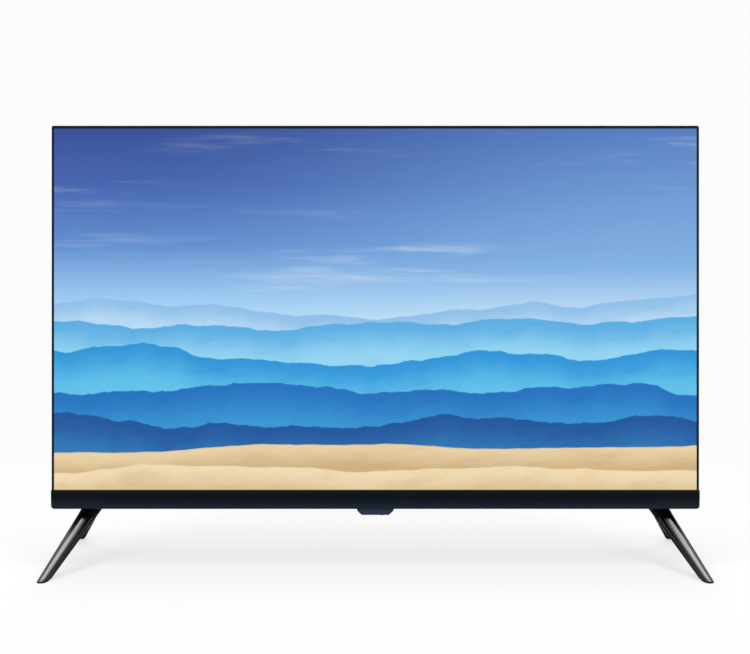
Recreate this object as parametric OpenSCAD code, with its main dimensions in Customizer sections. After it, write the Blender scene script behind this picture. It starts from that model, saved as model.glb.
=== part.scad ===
// Flat screen television, 32-inch class, standing on two splayed legs.
// Millimetres, +Z up, the screen faces -Y, the origin is on the floor under the middle of the stand.

/* [Screen] */
// Picture width of the 16:9 panel
active_w = 697.7; // [670:0.1:730]
// Picture height of the 16:9 panel
active_h = 392.7; // [376:0.1:412]
// Thickness of the liquid crystal cell, two glass sheets
cell_t = 1.4; // [1.2:0.1:1.8]
// Width of the rear glass left bare for the bonded flex strips
glass_step = 2; // [1.5:0.1:2.5]
// Thickness of each optical film
film_t = 0.3; // [0.2:0.05:0.4]
// Thickness of the diffuser plate
diffuser_t = 1.5; // [1.2:0.1:2]

/* [Front frame] */
// Visible width of the rim round the picture
rim_w = 2.2; // [2:0.1:3]
// Side wall of the rim
frame_wall = 1.2; // [1:0.1:1.4]
// Thickness of the lip over the glass
lip_t = 1; // [0.8:0.1:1.4]
// Depth of the rim from front to back
frame_depth = 14; // [13.8:0.1:16]
// Corner radius of the rim
frame_r = 2; // [1.5:0.1:4]

/* [Bottom bar] */
// Height of the bar under the picture
bar_h = 20.8; // [19.8:0.1:24]
// Overhang of the bar past the rim on each side
bar_over = 0.4; // [0.3:0.1:1.5]
// How far the bar stands in front of the rim
bar_proud = 1.6; // [1.2:0.1:2.4]
// Height of the upright upper face
bar_flat = 9; // [7:0.5:11]
// Set-back of the lower edge behind the upper face
bar_tuck = 1.1; // [0.6:0.1:1.8]
// Wall of the bar
bar_wall = 1.8; // [1.5:0.1:2]
// Radius of the two lower corners
bar_r = 3.6; // [2:0.1:4.5]

/* [Sensor tab] */
// Width of the tab where it meets the bar
tab_top_w = 40.8; // [39:0.1:44]
// Width of the tab where its sides turn inwards
tab_waist_w = 38; // [36:0.1:38.8]
// Width of the tab at its lower edge
tab_bottom_w = 29.4; // [28.4:0.1:34]
// Height of the tab below the bar
tab_drop = 6.8; // [6.2:0.1:8]
// Wall of the tab
tab_wall = 1.5; // [1.3:0.1:1.7]
// Radius of the power key
key_r = 3.4; // [3:0.1:3.5]
// Radial gap round the power key
key_gap = 0.15; // [0.1:0.05:0.3]
// Stroke of the power key
key_travel = 0.8; // [0.5:0.1:1]
// How far the key stands out below the tab
key_proud = 0.9; // [0.8:0.1:1.6]

/* [Light box] */
// Depth between the diffuser plate and the floor of the tray
optical_gap = 18; // [16:0.5:20]
// Sheet thickness of the tray
tray_t = 0.8; // [0.6:0.1:1]
// Run of the tray's sloped walls
tray_run = 16; // [14:0.5:18]
// Width of the tray's flange
flange_w = 7; // [6:0.5:9]
// Thickness of the reflector sheet
reflector_t = 0.4; // [0.3:0.05:0.6]
// Light strips
led_rows = 3; // [2:1:3]
// Lamps on each strip
led_cols = 7; // [5:1:7]
// Distance of a strip's last lamp from the side of the picture
lamp_margin = 63.85; // [58:0.05:70]
// Distance of the outer strips from the top and bottom of the picture
strip_margin = 71.15; // [66:0.05:76]
// Width of a strip
strip_w = 15; // [12:0.5:15]
// Thickness of a strip
strip_t = 1; // [0.8:0.1:1.2]
// Radius of a lamp lens
lens_r = 7.5; // [7:0.1:8]
// Height of a lamp lens
lens_h = 6; // [5:0.1:7]

/* [Rear cover] */
// Wall of the moulded cover
cover_wall = 2.2; // [2:0.1:2.4]
// Set-back of the cover's edge inside the rim
cover_step = 0.5; // [0.2:0.1:0.6]
// Straight edge of the cover behind the rim
cover_edge = 4; // [3:0.5:6]
// Depth of the thin upper part
thin_d = 34; // [32.5:0.5:35]
// Run of the slope round the thin part
thin_run = 24; // [18:0.5:26]
// Depth of the deep lower part
bulge_d = 70; // [68:0.5:76]
// Height of the deep part's flat back
bulge_top = 225; // [218:1:240]
// Run of the slope over the deep part
bulge_run = 40; // [30:1:50]
// Set-back of the deep part from the cover's sides
bulge_side = 12.5; // [8:0.5:13]
// Lean of the deep part's sides
bulge_lean = 8; // [6:0.5:9]
// Bevel along the back edges
back_bevel = 2.5; // [1.5:0.1:3.5]
// Depth of the bevel under the deep part
tuck_d = 7; // [5:0.5:8]
// Height of the bevel under the deep part
tuck_h = 9; // [7:0.5:12]
// Width of an air slot
slot_w = 3; // [2.4:0.1:3.6]
// Spacing of the air slots
slot_pitch = 7; // [6:0.1:7.2]
// Air slots in each group
slot_n = 18; // [10:1:20]
// Distance of the first air slot from the middle
slot_start = 44; // [30:1:56]

/* [Wall mount] */
// Horizontal spacing of the wall-mount posts
vesa_w = 200; // [100:100:200]
// Vertical spacing of the wall-mount posts
vesa_h = 100; // [75:25:100]
// Height of the pattern's middle above the bar's lower edge
vesa_z = 150; // [140:1:160]
// Radius of the threaded hole
vesa_r = 2; // [1.9:0.05:2.2]
// Radius of a post
post_r = 5; // [4.5:0.1:5.5]

/* [Ports] */
// Distance of the socket walls from the middle
bay_x = 240; // [238:0.5:244]
// Lower end of the socket bays
bay_z0 = 70; // [69:0.5:71]
// Upper end of the socket bays
bay_z1 = 202; // [201:0.5:204]
// Gap round each socket in its opening
socket_gap = 0.3; // [0.2:0.05:0.5]
// Height of the first digital socket
hdmi_z = 82; // [81.5:0.5:82.5]
// Spacing of the digital sockets
hdmi_pitch = 19; // [18.5:0.5:20]
// Height of the data socket
usb_z = 118; // [117.5:0.5:118.5]
// Height of the headphone socket
phone_z = 131; // [130.5:0.1:131.5]
// Bore radius of the headphone socket
phone_r = 1.8; // [1.75:0.01:1.85]
// Height of the first round audio and video socket
av_z = 145; // [144.5:0.1:145.5]
// Spacing of the round sockets
av_pitch = 13.5; // [13.2:0.1:13.6]
// Bore radius of the round sockets' centre contact
av_bore_r = 1.65; // [1.6:0.01:1.75]
// Height of the aerial socket
aerial_z = 189; // [188.5:0.1:189.5]
// Barrel radius of the aerial socket
aerial_r = 4.7; // [4.6:0.01:4.8]
// Height of the mains inlet
inlet_z = 140; // [130:0.5:150]

/* [Boards] */
// Board thickness
board_t = 1.6; // [1.2:0.1:1.8]
// Height of the board spacers
spacer_h = 13.1; // [12.6:0.1:13.6]
// Radius of a board spacer
spacer_r = 3.5; // [3:0.1:4]
// Width of each board
board_w = 120; // [110:1:124]
// Height of each board
board_h = 126; // [124:1:128]

/* [Speakers] */
// Gap between a speaker box and the leg bracket beside it
speaker_gap = 5.5; // [3:0.5:8]
// Width of a speaker box
speaker_w = 104; // [98:1:106]
// Depth of a speaker box
speaker_d = 34.5; // [34:0.5:35.5]
// Height of a speaker box
speaker_h = 36; // [32:0.5:38]
// Wall of a speaker box
speaker_wall = 2; // [1.6:0.1:2.2]
// Radius of a loudspeaker's flange
driver_r = 16; // [15:0.1:16.4]

/* [Legs] */
// Height of the bar's lower edge above the floor
leg_h = 61.6; // [58:0.1:68]
// Set-back of a leg's root from the side of the rim
leg_in = 39; // [36:0.1:44]
// Depth of a leg's root behind the screen
leg_y = 39; // [38.8:0.1:40]
// Set-back of a front foot from the side of the rim
front_foot_in = 8.2; // [4:0.1:16]
// Set-back of a rear foot from the side of the rim
rear_foot_in = -1.3; // [-4:0.1:6]
// Reach of a front foot ahead of the screen
front_reach = 60; // [50:0.5:70]
// Reach of a rear foot behind the screen
rear_reach = 123; // [104:0.5:130]
// Radius of a front arm at its root
tube_r = 9.9; // [9:0.1:10.4]
// Radius of a rear arm at its root
arm_r = 8; // [7:0.1:8.6]
// Radius of an arm at its foot
foot_r = 5.3; // [5:0.1:6.2]
// Length of the black collar on the front arm
collar_len = 23; // [21:0.5:26]
// Radius of the plated tube's spigot in the collar
spigot_r = 4; // [3.5:0.1:4.4]
// Depth of the spigot in the collar
spigot_len = 12; // [10:0.5:13]
// Gap round the spigot
spigot_gap = 0.1; // [0.05:0.01:0.2]
// Thickness of a foot pad
pad_t = 1.6; // [1.2:0.1:2.4]
// Thickness of a leg's fixing plate
plate_t = 3.5; // [3:0.1:4]
// Shank radius of a leg screw
leg_screw_r = 2; // [1.8:0.05:2.1]
// Sheet thickness of the leg brackets
bracket_t = 2.5; // [2:0.1:2.8]

/* [Hidden] */
$fn = 48;
// General working gap between moulded and stamped pieces
fit = 0.3;
// Over-length of cutting bodies
cut = 1;
panel_half = active_w / 2 + rim_w;
panel_h = active_h + rim_w + bar_h;
// Stack of the screen from front to back
cell_y = lip_t;
ledge_y = cell_y + cell_t;
ledge_t = 1.6;
film_y = ledge_y + ledge_t;
diffuser_y = film_y + 2 * film_t;
tray_y = diffuser_y + diffuser_t;
tray_floor = tray_y + optical_gap;
tray_back = tray_floor + tray_t;
strip_y = tray_floor - strip_t;
reflector_y = strip_y - reflector_t;
// Light guide frame and what it holds
mid_half = panel_half - frame_wall - fit;
mid_top = panel_h - frame_wall - fit;
mid_wall = 1.4;
mid_low = bar_h - 10;
mid_depth = frame_depth - 2;
ledge_w = 3;
stack_half = mid_half - mid_wall - fit;
stack_low = mid_low + mid_wall + fit;
stack_top = mid_top - mid_wall - fit;
stack_mid = (stack_low + stack_top) / 2;
led_pitch = (active_w - 2 * lamp_margin) / (led_cols - 1);
strip_pitch = (active_h - 2 * strip_margin) / (led_rows - 1);
strip_heights = [for (i = [0 : led_rows - 1]) stack_mid + (i - (led_rows - 1) / 2) * strip_pitch];
cell_low = bar_h - 2 * glass_step;
// Bottom bar and sensor tab
bar_half = panel_half + bar_over;
bar_edge = 1;
// Set-back of the tab behind the bar's lower edge
tab_step = 1.2;
tab_y = bar_tuck - bar_proud + bar_edge + tab_step;
tab_d = 11;
tenon_half = 16;
tenon_in = 0.8;
tenon_h = 6.4;
key_flange = [key_r + 1.6, key_r - 0.1];
key_flange_t = 1.2;
key_x = 7;
key_low = -tab_drop - key_proud;
key_floor = tab_wall - tab_drop;
switch_low = 2.6;
// Rear cover
cover_half = panel_half - cover_step;
cover_h = panel_h - cover_step;
cover_r = frame_r + 2;
board_y = tray_back + spacer_h;
board_back = board_y + board_t;
board_edge = bay_x - cover_wall - 1.3;
board_low = (bay_z0 + bay_z1 - board_h) / 2;
hdmi_size = [15, 6];
usb_size = [13.2, 6.6];
av_socket_r = 4.15;
barrel_out = 8;
barrel_gap = 0.4;
// Face of the block behind the round sockets, and how far a sleeve sits in it
av_front = 4 - bay_x;
sleeve_in = 6;
phone_body = 6;
av_y = board_back + 7;
phone_y = board_back + phone_body / 2;
inlet_size = [25, 16];
inlet_flange = 1.5;
inlet_depth = 20;
inlet_y = board_back + inlet_size[1] / 2;
inlet_pitch = 8.6;
inlet_lobe = 4.4;
pin_r = 1.2;
// Fixings of the cover
screw_r = 1.5;
screw_head_r = 3.2;
screw_head_h = 2;
well_r = 5.6;
well_bore = 4.2;
well_floor = tray_back + fit + 3;
thin_screw_in = 61;
side_screw_drop = 46;
mid_screw_drop = 40;
thin_screw_rise = 23;
thin_screw_x = panel_half - thin_screw_in;
thin_screw_z = bulge_top + bulge_run + thin_screw_rise;
top_screw_z = panel_h - side_screw_drop;
thin_screws = [[-thin_screw_x, top_screw_z], [0, panel_h - mid_screw_drop], [thin_screw_x, top_screw_z],
    [-thin_screw_x, thin_screw_z], [thin_screw_x, thin_screw_z]];
deep_screw_z = bay_z1 + cover_wall + well_r + 2;
// Legs, in the head's frame, whose zero height is the bar's lower edge
leg_x = panel_half - leg_in;
plate_inner = 21;
plate_outer = 12;
plate_d = 28;
root_gap = 8;
// Over-length of the arms above the set's underside, trimmed off
arm_over = 16;
// Blunt nose of a foot: how far it starts past the floor along the axis, its length and its draw-in
nose_from = 3.8;
nose_len = 2.6;
nose_in = 2;
// Turns the arms' lengthwise seams away from the lowest points of the feet
seam_turn = 37;
root_skew = 0.9;
front_root = [leg_x - root_skew, leg_y - root_gap, 0];
rear_root = [leg_x + root_skew, leg_y + root_gap, 0];
front_foot = [panel_half - front_foot_in, -front_reach, -leg_h];
rear_foot = [panel_half - rear_foot_in, rear_reach, -leg_h];
leg_screw_x = leg_x - 16;
leg_screw_dy = 8.5;
leg_screw_head_r = 3.6;
// Speakers, and the screws and boards beside them
speaker_x = leg_x - plate_inner - speaker_gap - speaker_w / 2;
speaker_low = cover_wall + 2.5;
driver_t = 1.2;
driver_flange = 2;
driver_y = tray_back + speaker_d / 2;
low_screw_x = speaker_x - speaker_w / 2 - 15;
low_screw_z = 42;
deep_screws = [[-low_screw_x, low_screw_z], [low_screw_x, low_screw_z],
    [-thin_screw_x, deep_screw_z], [thin_screw_x, deep_screw_z]];
source_half = low_screw_x - 15;
source_low = 36;
source_h = 16;
source_t = 1.2;
flex_t = 0.2;
flex_w = 28;
flex_pitch = 40;
flex_low = mid_low - 2.2;
// Parts on the boards, and the leads
chip_x = -(board_edge - board_w / 2 - 14);
chip_z = board_low + board_h / 2;
chip_half = 11;
chip_t = 1.8;
power_x = board_edge - board_w / 2;
power_z = board_low + board_h / 2;
lead_r = 1;
lead_y = board_back + lead_r;
// Depth of the head's front plane, which centres the stand on the origin
front_y = (front_reach + foot_span(front_root, front_foot)
    - rear_reach - foot_span(rear_root, rear_foot)) / 2;

// Half extent along Y of a slanting round arm where the floor cuts it
function foot_span(top, foot) =
    let (d = foot - top, run = norm([d.x, d.y]))
    foot_r * sqrt(pow(d.y / run * norm(d) / d.z, 2) + pow(d.x / run, 2));

// Outline of a bent strip of thickness t along a path, with mitred bends
function strip_side(path, t) = [for (i = [0 : len(path) - 1])
    let (
        a = path[max(i - 1, 0)],
        b = path[min(i + 1, len(path) - 1)],
        p = path[i],
        u = i == 0 ? (b - p) / norm(b - p) : (p - a) / norm(p - a),
        v = i == len(path) - 1 ? u : (b - p) / norm(b - p),
        n = [-u.y - v.y, u.x + v.x]
    )
    p + n * t / (1 + u * v) / 2];
function reversed(list) = [for (i = [len(list) - 1 : -1 : 0]) list[i]];
function strip_outline(path, t) = concat(strip_side(path, t), reversed(strip_side(path, -t)));

// Places the head, whose own frame starts at the rim's front and the bar's lower edge
module head() translate([0, front_y, leg_h]) children();
// Extrudes a Y-Z profile along X
module along_x(length) rotate([90, 0, 90]) linear_extrude(length, center = true) children();
// Extrudes an X-Z profile from y0 to y1
module along_y(y0, y1) translate([0, y1, 0]) rotate([90, 0, 0]) linear_extrude(y1 - y0) children();
// Turns children so that their +Z runs from p towards q
module aim(p, q) {
    d = q - p;
    translate(p) rotate([0, acos(d.z / norm(d)), atan2(d.y, d.x)]) children();
}
module rect(half, z0, z1) translate([-half, z0]) square([2 * half, z1 - z0]);
module block(x, y, z) translate([x[0], y[0], z[0]]) cube([x[1] - x[0], y[1] - y[0], z[1] - z[0]]);
module rod_y(r, y0, y1) translate([0, y0, 0]) rotate([-90, 0, 0]) cylinder(r = r, h = y1 - y0);
module rod_x(r, x0, x1) translate([x0, 0, 0]) rotate([0, 90, 0]) cylinder(r = r, h = x1 - x0);
module round_rect(half, z0, z1, r) {
    rect(half - r, z0, z1);
    rect(half, z0 + r, z1 - r);
    for (sx = [-1, 1], z = [z0 + r, z1 - r]) translate([sx * (half - r), z]) circle(r = r);
}
module both_sides() {
    children();
    mirror([1, 0, 0]) children();
}
// Round lead along a path, with rounded bends
module lead(path, r) {
    for (i = [0 : len(path) - 2]) {
        aim(path[i], path[i + 1]) cylinder(r = r, h = norm(path[i + 1] - path[i]));
        if (i > 0) translate(path[i]) sphere(r = r);
    }
}
// Ring between two rectangles, extruded from y0 to y1
module ring(y0, y1, outer, inner) {
    along_y(y0, y1) difference() {
        rect(outer[0], outer[1], outer[2]);
        rect(inner[0], inner[1], inner[2]);
    }
}

// Front shell
module front_frame() {
    color([0.06, 0.06, 0.07]) head() difference() {
        along_y(0, frame_depth) difference() {
            round_rect(panel_half, 0, panel_h, frame_r);
            rect(panel_half + cut, -cut, bar_h);
        }
        along_y(lip_t, frame_depth + cut) rect(panel_half - frame_wall, 0, panel_h - frame_wall);
        along_y(-cut, lip_t + cut) rect(active_w / 2, 0, panel_h - rim_w);
    }
}

// Section of the bar: upright above, leaning back below
module bar_section(inset) {
    front = inset - bar_proud;
    foot = front + bar_tuck;
    polygon([[front, bar_h - inset], [front, bar_h - bar_flat], [foot, bar_edge + inset],
        [foot + bar_edge, inset], [frame_depth + inset, inset], [frame_depth + inset, bar_h - inset]]);
}

module bottom_bar() {
    lip_end = cell_y - 0.1;
    color([0.05, 0.05, 0.06]) head() difference() {
        intersection() {
            along_x(2 * bar_half) bar_section(0);
            along_y(-bar_proud - cut, frame_depth + cut) round_rect(bar_half, 0, bar_h + 2 * bar_r, bar_r);
        }
        along_x(2 * (panel_half - frame_wall)) union() {
            bar_section(bar_wall);
            translate([lip_end, bar_h / 2]) square([frame_depth + cut - lip_end, bar_h]);
        }
        block([-tenon_half - fit, tenon_half + fit],
            [tab_y + tenon_in - fit, tab_y + tab_d - tenon_in + fit], [-cut, bar_wall + cut]);
    }
}

// Outside of the rear cover, drawn in by inset on every free side
module cover_form(inset) {
    half = cover_half - inset;
    top = cover_h - inset;
    thin = thin_d - inset;
    deep = bulge_d - inset;
    bulge = half - bulge_side;
    edge = frame_depth + cover_edge;
    start = frame_depth - (inset > 0 ? cut : 0);
    crest = bulge_top + bulge_run - inset;
    intersection() {
        along_y(start, bulge_d + cut) round_rect(half, inset, top, cover_r);
        union() {
            intersection() {
                linear_extrude(panel_h) polygon([[-half, start], [half, start], [half, edge],
                    [half - thin_run, thin], [thin_run - half, thin], [-half, edge]]);
                along_x(2 * cover_half) polygon([[start, inset], [thin, inset],
                    [thin, top - thin_run], [edge, top], [start, top]]);
            }
            intersection() {
                linear_extrude(panel_h) polygon([[-bulge, start], [bulge, start], [bulge, thin],
                    [bulge - bulge_lean, deep - back_bevel], [bulge - bulge_lean - back_bevel, deep],
                    [back_bevel + bulge_lean - bulge, deep], [bulge_lean - bulge, deep - back_bevel],
                    [-bulge, thin]]);
                along_x(2 * cover_half) polygon([[start, inset], [deep - tuck_d, inset],
                    [deep, inset + tuck_h], [deep, bulge_top - back_bevel - inset],
                    [deep - back_bevel / 2, bulge_top + back_bevel - inset], [thin, crest], [start, crest]]);
            }
        }
    }
}

// Space of the socket bays, cut from the deep part's sides, grown by wall
module bays(wall) {
    both_sides() block([bay_x - wall, panel_half + cut], [thin_d - wall, bulge_d + cut],
        [bay_z0 - wall, bay_z1 + wall]);
}

module slot_row(x0, n, width, y, z) {
    for (i = [0 : n - 1]) block([x0 + i * slot_pitch, x0 + i * slot_pitch + width], y, z);
}

module socket_openings() {
    x = [-bay_x - cut, cut + cover_wall - bay_x];
    g = socket_gap;
    for (i = [0, 1]) {
        z = hdmi_z + i * hdmi_pitch;
        block(x, [board_back - g, board_back + hdmi_size[1] + g],
            [z - hdmi_size[0] / 2 - g, z + hdmi_size[0] / 2 + g]);
    }
    block(x, [board_back - g, board_back + usb_size[1] + g],
        [usb_z - usb_size[0] / 2 - g, usb_z + usb_size[0] / 2 + g]);
    translate([0, phone_y, phone_z]) rod_x(phone_body / 2 + g, x[0], x[1]);
    for (i = [0 : 2]) translate([0, av_y, av_z + i * av_pitch]) rod_x(av_socket_r + g, x[0], x[1]);
    translate([0, av_y, aerial_z]) rod_x(aerial_r + g, x[0], x[1]);
    block([bay_x - cover_wall - cut, bay_x + cut],
        [inlet_y - inlet_size[1] / 2 - g, inlet_y + inlet_size[1] / 2 + g],
        [inlet_z - inlet_size[0] / 2 - g, inlet_z + inlet_size[0] / 2 + g]);
}

module rear_cover() {
    slope_z = [bulge_top + bulge_run * 0.2, bulge_top + bulge_run * 0.72];
    floor_z = [-cut, cover_wall + cut];
    grille_n = 8;
    grille_x = speaker_x - (grille_n - 1) / 2 * slot_pitch - slot_w / 2;
    thin_boss = thin_d - cover_wall;
    color([0.08, 0.08, 0.09]) head() difference() {
        union() {
            difference() {
                cover_form(0);
                difference() {
                    cover_form(cover_wall);
                    bays(cover_wall);
                }
                bays(0);
            }
            for (p = thin_screws) translate([p.x, 0, p.y]) rod_y(well_bore + 1, tray_back + fit, thin_boss);
            for (p = deep_screws) translate([p.x, 0, p.y])
                rod_y(well_r, tray_back + fit, bulge_d - cover_wall);
        }
        for (p = thin_screws) translate([p.x, 0, p.y]) {
            rod_y(screw_r + fit, tray_back, thin_d + cut);
            rod_y(well_bore, thin_d - screw_head_h, thin_d + cut);
        }
        for (p = deep_screws) translate([p.x, 0, p.y]) {
            rod_y(screw_r + fit, tray_back, bulge_d);
            rod_y(well_bore, well_floor, bulge_d + cut);
        }
        for (sx = [-1, 1], sz = [-1, 1]) translate([sx * vesa_w / 2, 0, vesa_z + sz * vesa_h / 2])
            rod_y(post_r + fit, thin_d, bulge_d + cut);
        both_sides() {
            slot_row(slot_start, slot_n, slot_w, [thin_d, bulge_d], slope_z);
            slot_row(grille_x, grille_n, slot_w, [driver_y - 11, driver_y + 11], floor_z);
            slot_row(slot_start, floor(slot_n / 2), slot_w, [driver_y - 8, driver_y + 8], floor_z);
            for (dy = [-1, 1]) translate([leg_screw_x, leg_y + dy * leg_screw_dy, -cut])
                cylinder(r = leg_screw_r + fit, h = cover_wall + 2 * cut);
        }
        socket_openings();
    }
}

// Round-headed screw from its head's underside at y = seat to its tip
module cover_screw(seat, tip) {
    difference() {
        union() {
            rod_y(screw_r, tip, seat);
            rod_y(screw_head_r, seat, seat + screw_head_h);
        }
        for (turn = [0, 90]) rotate([0, turn, 0])
            block([-2, 2], [seat + screw_head_h / 2, seat + screw_head_h + cut], [-0.4, 0.4]);
    }
}

module cover_screws() {
    tip = tray_floor + 0.1;
    color([0.1, 0.1, 0.1]) head() {
        for (p = thin_screws) translate([p.x, 0, p.y]) cover_screw(thin_d - screw_head_h, tip);
        for (p = deep_screws) translate([p.x, 0, p.y]) cover_screw(well_floor, tip);
    }
}

// Screen and light box
module lcd_cell() {
    half = panel_half - frame_wall - fit;
    top = panel_h - frame_wall - fit;
    glass = cell_t / 2;
    color([0.1, 0.25, 0.5]) head() {
        along_y(cell_y, cell_y + glass) rect(half, cell_low + glass_step, top);
        along_y(cell_y + glass, ledge_y) rect(half, cell_low, top);
    }
}

module mid_frame() {
    outer = [mid_half, mid_low, mid_top];
    color([0.12, 0.12, 0.13]) head() {
        ring(ledge_y, film_y, outer, [mid_half - ledge_w, bar_h - 0.5, mid_top - ledge_w]);
        ring(film_y, mid_depth, outer, [mid_half - mid_wall, mid_low + mid_wall, mid_top - mid_wall]);
    }
}

module sheet(y, t) along_y(y, y + t) rect(stack_half, stack_low, stack_top);

module prism_film() color([0.8, 0.85, 0.9]) head() sheet(film_y, film_t);

module diffuser_film() color([0.9, 0.9, 0.92]) head() sheet(film_y + film_t, film_t);

module diffuser_plate() color([0.95, 0.95, 0.95]) head() sheet(diffuser_y, diffuser_t);

// Dish with four sloped sides from y0 to y1, grown by wall and shifted in depth
module dish(y0, y1, grow) {
    half = stack_half - flange_w + grow;
    low = stack_low + flange_w - grow;
    top = stack_top - flange_w + grow;
    intersection() {
        linear_extrude(panel_h)
            polygon([[-half, y0], [half, y0], [half - tray_run, y1], [tray_run - half, y1]]);
        along_x(2 * panel_half) polygon([[y0, low], [y1, low + tray_run], [y1, top - tray_run], [y0, top]]);
    }
}

module back_tray() {
    color([0.7, 0.71, 0.73]) head() difference() {
        union() {
            along_y(tray_y, tray_y + tray_t) rect(stack_half, stack_low, stack_top);
            dish(tray_y, tray_back, tray_t);
        }
        dish(tray_y - 0.01, tray_floor, 0);
        for (p = concat(thin_screws, deep_screws)) translate([p.x, 0, p.y])
            rod_y(screw_r + 0.1, tray_y, tray_back + cut);
    }
}

module lamp_places() {
    for (z = strip_heights, j = [0 : led_cols - 1])
        translate([(j - (led_cols - 1) / 2) * led_pitch, 0, z]) children();
}

module reflector_sheet() {
    front = tray_y + fit;
    lamp_gap = 1;
    color([0.97, 0.97, 0.97]) head() difference() {
        dish(front, strip_y, -fit);
        dish(front - 0.01, reflector_y, -fit - reflector_t);
        lamp_places() rod_y(lens_r + lamp_gap, reflector_y - cut, strip_y + cut);
    }
}

module diffuser_supports() {
    tip = tray_y + fit;
    base_r = 4;
    color([0.93, 0.93, 0.93]) head() {
        for (p = [[-1.5, -0.5], [0.5, -0.5], [-0.5, 0.5], [1.5, 0.5], [-2.5, 0.5], [2.5, -0.5]])
            translate([p.x * led_pitch, reflector_y, stack_mid + p.y * strip_pitch]) rotate([90, 0, 0])
                cylinder(r1 = base_r, r2 = 1, h = reflector_y - tip);
    }
}

module led_strips() {
    end = 20;
    chip = 1.75;
    half = (led_cols - 1) / 2 * led_pitch + end;
    color([0.9, 0.9, 0.86]) head() {
        for (z = strip_heights)
            block([-half, half], [strip_y, tray_floor], [z - strip_w / 2, z + strip_w / 2]);
        lamp_places() block([-chip, chip], [strip_y - 0.8, strip_y], [-chip, chip]);
    }
}

// Lens with a dimple on top and a hollow over the lamp
module led_lenses() {
    color([0.85, 0.9, 0.95]) head() lamp_places() translate([0, strip_y, 0]) rotate([90, 0, 0])
        rotate_extrude() polygon([[3.4, 0], [lens_r, 0], [lens_r, lens_h * 0.3],
            [lens_r * 0.85, lens_h * 0.7], [lens_r * 0.55, lens_h * 0.95], [lens_r * 0.3, lens_h],
            [0, lens_h * 0.75], [0, lens_h * 0.5], [2, lens_h * 0.4]]);
}

// Source board behind the tray's lower part and the strips that join it to the glass
module source_board() {
    color([0.1, 0.35, 0.2]) head() block([-source_half, source_half], [tray_back, tray_back + source_t],
        [source_low, source_low + source_h]);
}

module panel_flex() {
    glass_gap = 0.2;
    board_lap = 6;
    end_gap = 1;
    glass_y = cell_y + cell_t / 2 - flex_t / 2;
    board_face = tray_back + source_t + flex_t / 2;
    path = [[glass_y, cell_low + glass_step - glass_gap], [glass_y, flex_low], [board_face, flex_low],
        [board_face, source_low + board_lap]];
    color([0.75, 0.5, 0.15]) head() for (sx = [-1, 1], i = [0 : 2])
        translate([sx * (source_half - flex_w / 2 - end_gap - i * flex_pitch), 0, 0]) along_x(flex_w)
            polygon(strip_outline(path, flex_t));
}

// Boards and what they carry
module board_corners(sx) {
    margin = 6;
    for (x = [board_edge - margin, board_edge - board_w + margin],
        z = [board_low + margin, board_low + board_h - margin])
        translate([sx * x, 0, z]) children();
}

module board_spacers() {
    color([0.72, 0.72, 0.74]) head() for (sx = [-1, 1]) board_corners(sx) difference() {
        rod_y(spacer_r, tray_back, board_y);
        rod_y(screw_r, tray_back + spacer_h / 2, board_y + cut);
    }
}

module board(sx) {
    middle = sx * (board_edge - board_w / 2);
    head() difference() {
        block([middle - board_w / 2, middle + board_w / 2], [board_y, board_back],
            [board_low, board_low + board_h]);
        board_corners(sx) rod_y(screw_r + 0.1, board_y - cut, board_back + cut);
    }
}

module main_board() color([0.07, 0.3, 0.16]) board(-1);

module power_board() color([0.62, 0.5, 0.28]) board(1);

module processor() {
    color([0.08, 0.08, 0.08]) head() block([chip_x - chip_half, chip_x + chip_half],
        [board_back, board_back + chip_t], [chip_z - chip_half, chip_z + chip_half]);
}

module main_heatsink() {
    half = 18;
    base = 2.5;
    fin_h = 9;
    fins = 9;
    seat = board_back + chip_t;
    pitch = (2 * half - 1.2) / (fins - 1);
    color([0.15, 0.15, 0.16]) head() {
        block([chip_x - half, chip_x + half], [seat, seat + base], [chip_z - half, chip_z + half]);
        for (i = [0 : fins - 1]) block([chip_x - half + i * pitch, chip_x - half + i * pitch + 1.2],
            [seat + base, seat + base + fin_h], [chip_z - half, chip_z + half]);
    }
}

// Shell of a digital socket: rectangular sleeve with a contact tongue
module sleeve_socket(z, size, deep, tongue, tongue_y) {
    wall = 0.6;
    y = [board_back, board_back + size[1]];
    difference() {
        block([-bay_x, deep - bay_x], y, [z - size[0] / 2, z + size[0] / 2]);
        block([-bay_x - cut, deep - bay_x - wall], [y[0] + wall, y[1] - wall],
            [z - size[0] / 2 + wall, z + size[0] / 2 - wall]);
    }
    block([1 - bay_x, deep - bay_x - wall], [tongue_y - tongue[1] / 2, tongue_y + tongue[1] / 2],
        [z - tongue[0] / 2, z + tongue[0] / 2]);
}

module hdmi_sockets() {
    color([0.75, 0.75, 0.76]) head() for (i = [0, 1])
        sleeve_socket(hdmi_z + i * hdmi_pitch, hdmi_size, 12, [11, 1.4], board_back + hdmi_size[1] / 2);
}

module usb_socket() {
    color([0.75, 0.75, 0.76]) head() sleeve_socket(usb_z, usb_size, 14, [11, 1.9], board_back + 2.2);
}

module headphone_socket() {
    body_d = 13;
    nose = 3;
    half = 4;
    back_wall = 1;
    color([0.06, 0.06, 0.06]) head() translate([0, phone_y, phone_z]) difference() {
        union() {
            block([nose - bay_x, body_d - bay_x], [-phone_body / 2, phone_body / 2], [-half, half]);
            rod_x(phone_body / 2, -bay_x, nose - bay_x);
        }
        rod_x(phone_r, -bay_x - cut, body_d - bay_x - back_wall);
    }
}

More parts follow.
